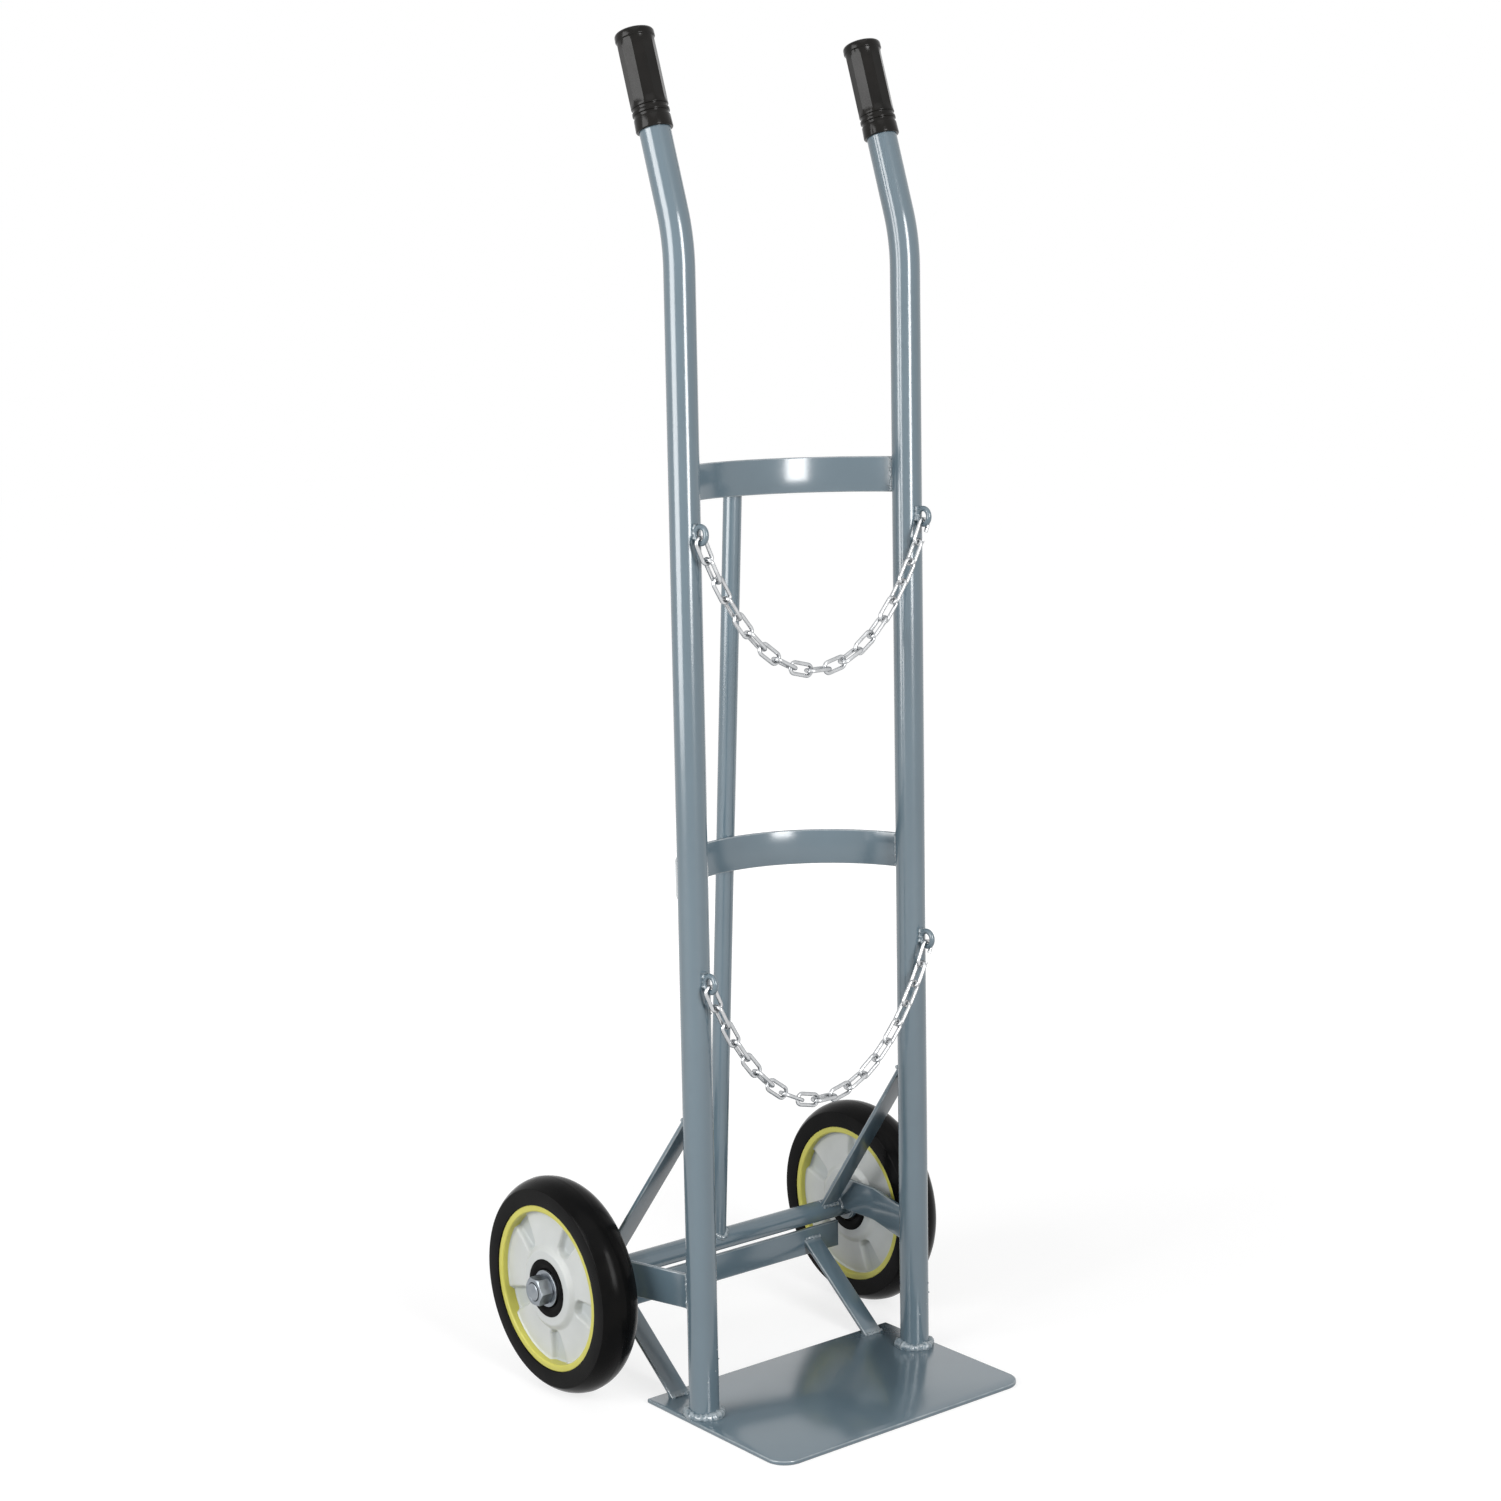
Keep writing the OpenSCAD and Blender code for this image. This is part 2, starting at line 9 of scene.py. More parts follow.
import bmesh
import bpy
from mathutils import Matrix, Vector


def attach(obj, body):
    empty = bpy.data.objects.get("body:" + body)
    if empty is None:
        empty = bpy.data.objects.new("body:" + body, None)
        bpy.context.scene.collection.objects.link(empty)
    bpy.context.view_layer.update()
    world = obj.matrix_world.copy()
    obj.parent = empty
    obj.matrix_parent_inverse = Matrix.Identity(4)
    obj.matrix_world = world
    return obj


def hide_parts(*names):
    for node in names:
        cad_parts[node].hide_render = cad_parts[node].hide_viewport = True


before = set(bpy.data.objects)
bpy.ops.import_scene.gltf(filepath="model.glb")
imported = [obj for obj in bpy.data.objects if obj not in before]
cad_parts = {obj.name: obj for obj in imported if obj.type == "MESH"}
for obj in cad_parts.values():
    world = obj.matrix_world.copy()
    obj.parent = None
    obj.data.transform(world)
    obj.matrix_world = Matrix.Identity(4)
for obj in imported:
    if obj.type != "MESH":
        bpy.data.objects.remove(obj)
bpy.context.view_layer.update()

MM = 0.001
SIGNS = (-1, 1)
SIDES = (("left", -1), ("right", 1))
UP = (0, 0, 1)
ACROSS = (1, 0, 0)
QUARTER = pi / 2

# Camera
CAMERA_PLACE = (-1540.409, -1862.488, 985.526)
CAMERA_AZIMUTH = radians(-38.487)
CAMERA_ELEVATION = radians(9.29)
CAMERA_ROLL = radians(-1.058)
CAMERA_FOCAL_PIXELS = 2763.094
PICTURE_PIXELS = 1501
SENSOR_MM = 36

# Floor, in metres: its depth under the tyres, and where its glow starts and stops growing
FLOOR_DROP = 0.0002
FLOOR_GLOW_REACH = (0.3, 2.2)

# Edges of bars and plates; a step is the distance from the face and the inset from the side
EDGE = 1.2
EDGE_STEPS = [(EDGE * (1 - cos(a)), EDGE * (1 - sin(a))) for a in map(radians, (0, 30, 60, 90))]
SHARPEST_EDGE = 0.05
# Outer edges that turn more than this get paler paint, partly rubbed paint and partly a painted edge
# highlight; the reach keeps it close to a bar's ends
WEAR_AND_HIGHLIGHT_TURN = radians(22)
WEAR_AND_HIGHLIGHT_REACH = 4

# Mesh making: half angle that counts as straight, share of a side for an arc, distances in metres
STRAIGHT = radians(89)
LONGEST_CUT = 0.49
MERGE_REACH = 2e-6
SLIVER = 1e-7

# Toe plate
PLATE_HALF = 144
PLATE_FRONT = 131
PLATE_REAR = 62
PLATE_THICK = 4
PLATE_FRONT_CORNER = 20
PLATE_REAR_CORNER = 1.5
PLATE_CORNER_STEPS = 12

# Uprights
UPRIGHT_X = 126
TUBE_RADIUS = 13.5
TUBE_SEGMENTS = 64
TUBE_STEPS = 24
BEND_HEIGHT = 1035
BEND_ANGLE = radians(18)
BEND_RADIUS = 160
BEND_STEPS = 24
HANDLE_TOTAL = 178
HANDLE_STEPS = 6

# Grips, measured along the handle from the grip's open end
GRIP_START = 95
GRIP_LENGTH = 88
GRIP_RADIUS = 16
GRIP_FLANGE_RADIUS = 17
GRIP_FLANGE = 9
GRIP_END_WALL = 5
GRIP_COLLAR = 11
GRIP_GROOVE = 3
GRIP_BORE = 13.6
GRIP_FACETS = 10
GRIP_FACET_STEPS = 10
GRIP_STATIONS = 22
GRIP_FADE = 0.1
GRIP_TURN = radians(21)

# Cradle bands and back post
BAND_DEPTH = 32
BAND_THICK = 4
BAND_TUCK = 0.3
BAND_STEPS = 96
UPPER_BAND_Z = 827
UPPER_BAND_BOW = 82
MIDDLE_BAND_Z = 481
POST_RADIUS = 8.5
POST_WALL = 2
POST_DROP = 6
POST_FOOT = 2
POST_BORE_DEPTH = 70
POST_SEGMENTS = 48

# Axle, bars and braces
AXLE_Y = 140
AXLE_Z = 100
AXLE_RADIUS = 10
AXLE_CHAMFER = 0.5
AXLE_RINGS = (190, 120, 60, 0, -60, -120, -190)
AXLE_SHOULDER = 196
AXLE_END = 212.5
AXLE_SEGMENTS = 64
THREAD_RADIUS = 8
THREAD_PITCH = 2.0
THREAD_DEPTH = 0.6
THREAD_LEAD = 0.9
UNDER_BAR_HALF = 150
UNDER_BAR_THICK = 4.5
UNDER_BAR_LOW = 60
UNDER_BAR_TOP = 86
UNDER_BAR_FRONT = AXLE_Y - UNDER_BAR_THICK / 2
ARM_Z = (100, 132)
ARM_THICK = 4
ARM_NEAR_X = 130.75
ARM_FAR_X = 151
ARM_START = 6
ARM_BEND_START = 14
ARM_BEND_END = 85
ARM_BEND_EASE = (-6, -3, 0, 3, 6)
ARM_STEPS = 48
STAY_SECTION = (20, 4)
UPPER_STAY_Z = 285.5
UPPER_STAY_SPLAY = 9
UPPER_STAY_SPAN = (0.04, 0.97)
LOWER_STAY_X = 116
LOWER_STAY_FOOT_Y = 50
LOWER_STAY_TOP_Z = 73
BAR_STEPS = 12

# Weld beads: half thickness, lumpiness, ripple and seed
WELDS = {
    "foot_weld_beads": (4.0, 1.9, 0.07, 3.0),
    "weld_spatter": (0.9, 1.0, 0.0, 21.0),
    "post_weld_bead": (2.3, 1.4, 0.12, 5.0),
    "band_weld_beads": (1.9, 1.5, 0.15, 8.0),
    "eye_weld_beads": (3.1, 1.4, 0.12, 11.0),
    "brace_weld_beads": (1.7, 1.5, 0.15, 14.0),
}
# Distance between a bead's rings, and between its ripples, in metres
WELD_STEP = 0.0007
WELD_RIPPLE = 0.0042
# Cells in a metre of a bead's lumps and of its skin
WELD_LUMPS = 120.0
WELD_SKIN = 300.0
WELD_SEGMENTS = 14
WELD_POINTS = 48
WELD_OFFSET = 0.6
WELD_LIFT = 0.4
FOOT_WELD_RISE = 1.8
FOOT_WELD_OFFSET = 1.0
FOOT_WELD_TURN = radians(364)
# Weld spatter on the uprights: angle in degrees and height
SPATTER = ((-60, 66), (-38, 55), (-75, 47), (-20, 30), (-110, 38), (-52, 372))
SPATTER_LENGTH = 0.9
BAND_WELD_INSET = 1
BAND_WELD_SEARCH = 0.001
EYE_WELD_RISES = (-4, 0, 4, 9)
STAY_HEAD_WELD_HALF = 9.5
STAY_HEAD_WELD_RISE = 3
STAY_WELD_ACROSS = (-9, 0, 9)
# Beads of an upper brace on the axle, measured from the axle's middle
STAY_AXLE_WELDS = ((-8.3, 6.2), (-2.2, 10))
STAY_FOOT_WELDS = (-3.2, 3.2)
STAY_FOOT_WELD_RISE = 0.5
STAY_TOP_WELDS = (3, -3)
STAY_TOP_WELD_LIFT = 0.3
ARM_WELD_INSET = 1
ARM_WELD_TURNS = [radians(a) for a in (178, 160, 140, 120, 95)]

# Wheels
WHEEL_X = 180
WHEEL_SEGMENTS = 160
RING_SEGMENTS = 96
TYRE_RADIUS = 100
TYRE_HALF_WIDTH = 19
TYRE_CROWN = 26
TYRE_SHOULDER = 3.0
TYRE_BEAD = 0.8
TYRE_STEPS = 32
MOULD_LINE = 0.2
RIM_RADIUS = 76.5
RIM_BORE = 70.5
RIM_HALF_WIDTH = 18
RIM_CORNERS = (1.6, 0.6, 0.6, 1.6)
HUB_BORE = 19.3
HUB_SEAT = 23.52
HUB_LAND = 2
HUB_FACE = 17
HUB_MOUTH = 0.5
HUB_BOSS = 35
HUB_SLOPE_END = 39
HUB_SLOPE_EASE = 1.5
HUB_ROOT = 13
HUB_WEB = 11
HUB_FILLET = 1.5
HUB_FILLET_RISE = 1.2
HUB_STEPS = 56
# Rings of the hub's face, close together where it turns
HUB_RADII = [HUB_SEAT + 0.01, HUB_SEAT + 0.5, 26, 30, 32, 33]
HUB_RADII += [33.5 + 0.5 * k for k in range(27)]
HUB_RADII += [48, 51, 54, 57, 60, 63, 66, 68, 69, 69.4, 69.8, 70.2, RIM_BORE]
POCKETS = 5
POCKET_START = radians(43)
POCKET_FLOOR = 6.5
POCKET_HALF_ANGLE = 9
POCKET_INNER = 41
POCKET_WALL = 4.6
POCKET_CORNER = 5.0
BEARING_FACE = 16
# Section of a dished bearing cover: radius, and height over the bearing's face
COVER_SECTION = (
    (14.7, -1.7), (19.0, -1.7), (19.3, 0.02), (23.3, 0.02), (23.3, 1.02), (27, 1.02),
    (26.6, 1.6), (22.0, 1.5), (18.2, 0.7), (17.6, -0.6), (14.7, -0.9),
)
COVER_EDGE = 0.25
WASHER_RADIUS = 17
WASHER_BORE = 8.1
WASHER_THICK = 2.5
WASHER_EDGE = 0.4
NUT_FLAT = 12
NUT_THICK = 13
NUT_PLAY = 0.1
NUT_BORE_CHAMFER = 0.9
NUT_CHAMFER = 1.3
NUT_CHAMFER_STEPS = 10
NUT_FACE = 0.985 * NUT_FLAT
NUT_SIDES = 6
NUT_STEPS = 24
COLLAR_RADIUS = 15
COLLAR_BORE = 10.02
COLLAR_WIDTH = 5
COLLAR_EDGE = 0.6

# Chains
EYE_HEIGHTS = {"upper": 790, "lower": 402}
EYE_Y = -22
EYE_RADIUS = 7
EYE_WIRE = 2.5
EYE_SEGMENTS = 56
LINK_WIRE = 3.5
LINK_INSIDE_LENGTH = 20
LINK_INSIDE_WIDTH = 6.5
LINK_GAP = 0.4
LINK_COUNT = 19
LINK_CORNER = 4.5
LINK_CORNER_STEPS = 7
LINK_SEGMENTS = 16
HOOK_PRONG = 5
HOOK_STEPS = 16
WIRE_SEGMENTS = 20
HANG_TRIES = 60


# Camera and stage


def new_object(name, data):
    """Object in the scene."""
    obj = bpy.data.objects.new(name, data)
    bpy.context.scene.collection.objects.link(obj)
    return obj


def place_camera():
    """Camera at the photograph's viewpoint."""
    data = bpy.data.cameras.new("camera")
    data.sensor_width = SENSOR_MM
    data.lens = CAMERA_FOCAL_PIXELS / PICTURE_PIXELS * SENSOR_MM
    camera = new_object("camera", data)
    aim = Matrix.Rotation(CAMERA_AZIMUTH, 4, "Z") @ Matrix.Rotation(QUARTER - CAMERA_ELEVATION, 4, "X")
    place = Matrix.Translation(Vector(CAMERA_PLACE) * MM)
    camera.matrix_world = place @ aim @ Matrix.Rotation(CAMERA_ROLL, 4, "Z")
    bpy.context.scene.camera = camera


place_camera()
bpy.context.scene.view_settings.view_transform = "Standard"


def add_node(tree, kind, inputs=None, give=0, **settings):
    """One output of a new node, whose inputs are linked or set; all go by their label or number.

    A kind is written without the prefix that the tree's own nodes have.
    """
    own = "" if "Node" in kind else tree.bl_idname.removesuffix("Tree")
    node = tree.nodes.new(own + kind)
    for key, value in settings.items():
        setattr(node, key, value)
    for key, value in (inputs or {}).items():
        if isinstance(value, bpy.types.NodeSocket):
            tree.links.new(value, node.inputs[key])
        else:
            node.inputs[key].default_value = value
    return node.outputs[give]


def math_node(tree, operation, *values):
    """Result of one sum in a tree."""
    return add_node(tree, "ShaderNodeMath", dict(enumerate(values)), operation=operation)


def own_place(tree):
    """The piece's own coordinates in metres."""
    return add_node(tree, "TexCoord", give="Object")


def spread(tree, value, low, high, start=0.3, end=0.7, curve="LINEAR"):
    """A value between start and end, most often a noise, spread between two numbers."""
    inputs = {"Value": value, "From Min": start, "From Max": end, "To Min": low, "To Max": high}
    return add_node(tree, "MapRange", inputs, interpolation_type=curve)


def seen_ray(tree):
    """1 for camera, glossy and transmission rays, 0 for the rays that light the object."""
    path = tree.nodes.new("ShaderNodeLightPath").outputs
    pair = math_node(tree, "MAXIMUM", path["Is Camera Ray"], path["Is Glossy Ray"])
    return math_node(tree, "MAXIMUM", pair, path["Is Transmission Ray"])


def white_room(ambient):
    """World that shows white and lights the object at a plain level."""
    world = bpy.data.worlds.new("white_room")
    world.use_nodes = True
    tree = world.node_tree
    tree.nodes.clear()
    white = (1, 1, 1, 1)
    lit, shown = (add_node(tree, "Background", {"Color": white, "Strength": s}) for s in (ambient, 1))
    both = add_node(tree, "MixShader", {0: seen_ray(tree), 1: lit, 2: shown})
    tree.links.new(both, tree.nodes.new("ShaderNodeOutputWorld").inputs["Surface"])
    bpy.context.scene.world = world


def pale_floor(size, reflect, near_glow, far_glow):
    """Plain white floor that keeps a faint shadow; its glow makes up for the lamps' light further out."""
    corners = [(x * size, y * size, 0) for x, y in ((-1, -1), (1, -1), (1, 1), (-1, 1))]
    mesh = bpy.data.meshes.new("floor")
    mesh.from_pydata(corners, [], [(0, 1, 2, 3)])
    material = bpy.data.materials.new("floor_white")
    material.use_nodes = True
    tree = material.node_tree
    tree.nodes.clear()
    matt = add_node(tree, "BsdfDiffuse", {"Color": (reflect, reflect, reflect, 1)})
    reach = add_node(tree, "VectorMath", {0: own_place(tree)}, "Value", operation="LENGTH")
    glow = spread(tree, reach, near_glow, far_glow, *FLOOR_GLOW_REACH, "SMOOTHSTEP")
    strength = math_node(tree, "MULTIPLY", seen_ray(tree), glow)
    light = add_node(tree, "Emission", {"Strength": strength})
    both = add_node(tree, "AddShader", {0: matt, 1: light})
    tree.links.new(both, tree.nodes.new("ShaderNodeOutputMaterial").inputs["Surface"])
    mesh.materials.append(material)
    floor = new_object("floor", mesh)
    floor.location.z = -FLOOR_DROP


def lamp(name, place, aim, energy, kind="AREA", **settings):
    """Lamp aimed at a point."""
    data = bpy.data.lights.new(name, kind)
    data.energy = energy
    for key, value in settings.items():
        setattr(data, key, value)
    obj = new_object(name, data)
    obj.location = place
    obj.rotation_euler = (Vector(aim) - Vector(place)).to_track_quat("-Z", "Y").to_euler()
    return obj


white_room(ambient=0.22)
pale_floor(size=12, reflect=0.3, near_glow=0.75, far_glow=0.9)
lamp("overhead", (-1, -1.2, 3), (0, 0, 0), 0.4, "SUN", angle=radians(50))
lamp("left_box", (-2.4, 0.14, 1.25), (0, 0, 1.25), 58, shape="RECTANGLE", size=1.45, size_y=2.0)
lamp("front_box", (-0.26, -2.4, 1.4), (0, 0, 1.4), 54, shape="RECTANGLE", size=0.7, size_y=1.9)
back_box = lamp("back_box", (1.4, 2.2, 1.3), (0, 0, 0.7), 24, shape="RECTANGLE", size=1.6, size_y=2.0)
back_box.visible_glossy = False


# Finishes: a noise is (cells in a metre, detail), a relief is (its height, strength, depth in millimetres)

FINISHES = {}
# Paler paint on the outer edges stands partly for rubbed paint and partly for a painted edge highlight
PAINT_WEAR_AND_HIGHLIGHT = (55, 3)
WEAR_AND_HIGHLIGHT_SHARES = (0.25, 0.85)
TYRE_LINES = 5200.0
GRAZING_GREY = (0.42, 0.43, 0.45, 1)


def grain(tree, per_metre, detail):
    """Noise with a given number of cells in a metre."""
    inputs = {"Vector": own_place(tree), "Scale": per_metre, "Detail": detail}
    return add_node(tree, "TexNoise", inputs)


def tint(tree, value, first, second):
    """Colour between two by a value from 0 to 1; the first may come from another node."""
    if isinstance(first, tuple):
        first = (*first, 1)
    inputs = {"Factor": value, 6: first, 7: (*second, 1)}
    return add_node(tree, "Mix", inputs, 2, data_type="RGBA")


def wear_and_highlight_share(tree):
    """Share of paler paint: high on the outer edges, and uneven; it is rubbed paint and a painted edge
    highlight.
    """
    wear_and_highlight_edges = add_node(tree, "Attribute", give="Fac", attribute_name="wear_and_highlight")
    return math_node(tree, "MULTIPLY", wear_and_highlight_edges, spread(tree, grain(tree, *PAINT_WEAR_AND_HIGHLIGHT), *WEAR_AND_HIGHLIGHT_SHARES))


def pocket_painted_shade(tree):
    """Share of painted shade: high on the floors of the hub's pockets."""
    return add_node(tree, "Attribute", give="Fac", attribute_name="pocket")


def turned_lines(tree):
    """Height of fine rings round the wheels' axis."""
    inputs = {"Vector": own_place(tree), "Scale": (0, 1, 1), "Location": (0, -AXLE_Y * MM, -AXLE_Z * MM)}
    plane = add_node(tree, "Mapping", inputs)
    radius = add_node(tree, "VectorMath", {0: plane}, "Value", operation="LENGTH")
    return math_node(tree, "SINE", math_node(tree, "MULTIPLY", radius, TYRE_LINES))


def new_finish(name, base, tints, cloud, gloss, haze, reliefs, patch=None, **sockets):
    """Material whose colour and roughness vary by two noises, cloud and haze, under layers of relief.

    base is what the shader itself is set to. A patch is a share and the colour that it brings up.
    """
    material = FINISHES[name] = bpy.data.materials.new(name)
    material.use_nodes = True
    tree = material.node_tree
    shader = tree.nodes["Principled BSDF"].inputs
    shader["Base Color"].default_value = (*base[0], 1)
    shader["Roughness"].default_value = base[1]
    for label, value in sockets.items():
        shader[label.replace("_", " ")].default_value = value
    color = tint(tree, spread(tree, grain(tree, *cloud), 0, 1), *tints)
    if patch:
        color = tint(tree, patch[0](tree), color, patch[1])
    normal = None
    for height, strength, depth in reliefs:
        value = grain(tree, *height) if isinstance(height, tuple) else height(tree)
        inputs = {"Height": value, "Strength": strength, "Distance": depth * MM}
        if normal:
            inputs["Normal"] = normal
        normal = add_node(tree, "Bump", inputs)
    tree.links.new(color, shader["Base Color"])
    tree.links.new(spread(tree, grain(tree, *haze), *gloss), shader["Roughness"])
    tree.links.new(normal, shader["Normal"])


def frame_paint():
    """Blue-grey enamel over steel: gloss coat, slow waves in the sheet and edges painted paler, as rubbed
    paint and as a painted edge highlight.
    """
    new_finish(
        "frame_paint",
        base=((0.102, 0.149, 0.181), 0.18),
        tints=((0.097, 0.142, 0.173), (0.107, 0.156, 0.189)),
        cloud=(14, 3),
        gloss=(0.165, 0.185),
        haze=(40, 2),
        reliefs=(((14, 0), 0.09, 0.4), ((200, 0), 0.006, 0.02)),
        # Paler edges: rubbed paint and a painted edge highlight
        patch=(wear_and_highlight_share, (0.36, 0.4, 0.42)),
        Specular_IOR_Level=1.0,
    )


def tyre_rubber():
    """Black wheel rubber with faint turned lines."""
    new_finish(
        "tyre_rubber",
        base=((0.005, 0.005, 0.005), 0.22),
        tints=((0.0025, 0.0026, 0.0028), (0.0055, 0.0053, 0.0051)),
        cloud=(38, 4),
        gloss=(0.16, 0.28),
        haze=(90, 4),
        reliefs=((turned_lines, 0.1, 0.03), ((900, 2), 0.25, 0.06)),
        Specular_IOR_Level=0.05,
    )


def rubber(name, dark, light, gloss, shine):
    """Moulded rubber with a dull bloom and a fine grain."""
    bloom = (45, 4)
    reliefs = (((1500, 2), 0.05, 0.03), (bloom, 0.04, 0.12))
    base = (dark, gloss[0])
    new_finish(name, base, (dark, light), bloom, gloss, (120, 4), reliefs, Specular_IOR_Level=shine)


def moulded_plastic(name, dark, light, gloss, patch=None):
    """Moulded plastic with a slightly uneven skin."""
    reliefs = (((700, 2), 0.2, 0.05), ((60, 2), 0.2, 0.25))
    new_finish(name, (light, gloss[0]), (dark, light), (30, 4), gloss, (110, 3), reliefs, patch)


def bare_metal(name, dark, light, gloss, cells):
    """Plated metal with a cloudy crystal pattern and darker grazing edges."""
    reliefs = (((cells * 3, 1), 0.03, 0.04),)
    noises = {"cloud": (cells, 3), "haze": (cells * 2, 3), "reliefs": reliefs}
    sockets = {"Metallic": 1.0, "Specular_Tint": GRAZING_GREY}
    new_finish(name, (light, gloss[0]), (dark, light), gloss=gloss, **noises, **sockets)


frame_paint()
rubber("grip_rubber", (0.005, 0.0046, 0.004), (0.009, 0.008, 0.007), (0.15, 0.21), 0.18)
tyre_rubber()
moulded_plastic("rim_plastic", (0.52, 0.49, 0.085), (0.58, 0.55, 0.11), (0.34, 0.46))
# The hub's pocket floors are painted greyer as shade in the recesses
pocket_shade_patch = (pocket_painted_shade, (0.46, 0.49, 0.49))
moulded_plastic("hub_plastic", (0.53, 0.55, 0.54), (0.59, 0.61, 0.6), (0.36, 0.48), pocket_shade_patch)
rubber("seal_rubber", (0.003, 0.003, 0.003), (0.005, 0.005, 0.005), (0.36, 0.5), 0.03)
bare_metal("bearing_steel", (0.5, 0.51, 0.52), (0.6, 0.61, 0.62), (0.18, 0.28), 90)
bare_metal("zinc", (0.47, 0.48, 0.49), (0.6, 0.61, 0.62), (0.2, 0.3), 120)
bare_metal("dull_zinc", (0.25, 0.275, 0.3), (0.33, 0.355, 0.38), (0.32, 0.44), 120)


# Mesh making


def spaced(start, end, count):
    """Evenly spaced values from start to end."""
    return [start + (end - start) * k / count for k in range(count + 1)]


def arc(radius, start, end, count):
    """Points of a flat arc."""
    return [(radius * cos(a), radius * sin(a)) for a in spaced(start, end, count)]


def circle(radius, segments):
    """Section of a round bar."""
    return arc(radius, 0, 2 * pi, segments)[:-1]


def rounded(points, radii=None, steps=5):
    """Flat outline with its corners turned into arcs; without radii, a point's third number is its own."""
    if radii is None:
        points, radii = [p[:2] for p in points], [p[2] for p in points]
    elif not isinstance(radii, (list, tuple)):
        radii = [radii] * len(points)
    outline = []
    for i, radius in enumerate(radii):
        corner = Vector(points[i])
        before = Vector(points[i - 1]) - corner
        after = Vector(points[(i + 1) % len(points)]) - corner
        half = before.angle(after) / 2
        if radius <= 0 or half > STRAIGHT:
            outline.append(corner)
            continue
        cut = min(radius / tan(half), LONGEST_CUT * min(before.length, after.length))
        before.normalize()
        after.normalize()
        centre = corner + (before + after).normalized() * (cut / cos(half))
        start, end = corner + before * cut - centre, corner + after * cut - centre
        outline += [centre + start.length * start.slerp(end, k / steps) for k in range(steps + 1)]
    return outline


def skin(rings, loop=False, caps=False):
    """Points and faces over rings of equal size, without the faces of no width on an outline's axis."""
    size = len(rings[0])
    verts, faces = [p for ring in rings for p in ring], []
    for k in range(len(rings) if loop else len(rings) - 1):
        a, b = k * size, (k + 1) % len(rings) * size
        for i in range(size):
            j = (i + 1) % size
            if verts[a + i] != verts[b + i] or verts[a + j] != verts[b + j]:
                faces.append((a + i, a + j, b + j, b + i))
    if caps:
        faces += [tuple(reversed(range(size))), tuple(range(len(verts) - size, len(verts)))]
    return verts, faces


def spun(outline, angle):
    """Outline of (radius, height), set at an angle round the local Z axis."""
    return [(r * cos(angle), r * sin(angle), z) for r, z in outline]


def revolve(outline, segments):
    """Closed skin of an outline, turned round the local Z axis."""
    return skin([spun(outline, a) for a in spaced(0, 2 * pi, segments)[:-1]], loop=True)


def sweep(path, sections, across):
    """Skin of sections along a path, closed at both ends; across is the direction of their first axis."""
    path = [Vector(p) for p in path]
    if not isinstance(sections[0], list):
        sections = [sections] * len(path)
    rings = []
    for i, point in enumerate(path):
        along = (path[min(i + 1, len(path) - 1)] - path[max(i - 1, 0)]).normalized()
        side = Vector(across)
        side = (side - along * along.dot(side)).normalized()
        other = along.cross(side)
        rings.append([point + side * u + other * v for u, v in sections[i]])
    return skin(rings, caps=True)


def with_rims(path):
    """Path with a point close to an end that starts with a long stretch, so that the paler edge paint, rubbed
    paint and painted highlight, stays at the end.
    """
    points = [Vector(p) for p in path]
    for _ in range(2):
        stretch = points[1] - points[0]
        if stretch.length > 2 * WEAR_AND_HIGHLIGHT_REACH:
            points.insert(1, points[0] + stretch.normalized() * WEAR_AND_HIGHLIGHT_REACH)
        points.reverse()
    return points


def bar_section(width, thick, inset=0):
    """Section of a flat bar with its edges broken."""
    w, t = width / 2 - inset, thick / 2 - inset
    corners = [(-w, -t), (w, -t), (w, t), (-w, t)]
    return [tuple(p) for p in rounded(corners, max(EDGE - inset, SHARPEST_EDGE), 3)]


def flat_bar(path, width, thick, across, round_start=False, round_end=False):
    """Flat bar along a path, its ends rounded off where they show."""
    points = with_rims(path)
    sections = [bar_section(width, thick)] * len(points)
    for wanted in (round_start, round_end):
        if wanted:
            tip = points[0]
            inward = (points[1] - tip).normalized()
            points = [tip + inward * depth for depth, _ in EDGE_STEPS] + points[1:]
            sections = [bar_section(width, thick, inset) for _, inset in EDGE_STEPS] + sections[1:]
        points, sections = points[::-1], sections[::-1]
    return sweep(points, sections, across)


def mesh_of(name, shells):
    """Mesh in metres of several (points, faces) shells."""
    verts, faces = [], []
    for points, polygons in shells:
        base = len(verts)
        verts += [Vector(p) * MM for p in points]
        faces += [tuple(base + i for i in f) for f in polygons]
    mesh = bpy.data.meshes.new(name)
    mesh.from_pydata(verts, [], faces)
    return mesh


def clean(mesh, sharp_degrees):
    """Merge doubles, turn faces outwards, keep the sharp edges sharp and mark the outer edges for paler
    paint, which is wear and a painted edge highlight.
    """
    bm = bmesh.new()
    bm.from_mesh(mesh)
    bmesh.ops.remove_doubles(bm, verts=bm.verts, dist=MERGE_REACH)
    bmesh.ops.dissolve_degenerate(bm, dist=SLIVER, edges=bm.edges)
    bmesh.ops.recalc_face_normals(bm, faces=bm.faces)
    limit = radians(sharp_degrees)
    for face in bm.faces:
        face.smooth = True
    wear_and_highlight = bm.verts.layers.float.new("wear_and_highlight")
    for edge in bm.edges:
        edge.smooth = len(edge.link_faces) == 2 and edge.calc_face_angle() < limit
        # Outer edges are marked for paler paint: partly wear, partly a painted edge highlight
        if len(edge.link_faces) == 2 and edge.calc_face_angle_signed() > WEAR_AND_HIGHLIGHT_TURN:
            for vert in edge.verts:
                vert[wear_and_highlight] = 1.0
    bm.to_mesh(mesh)
    bm.free()


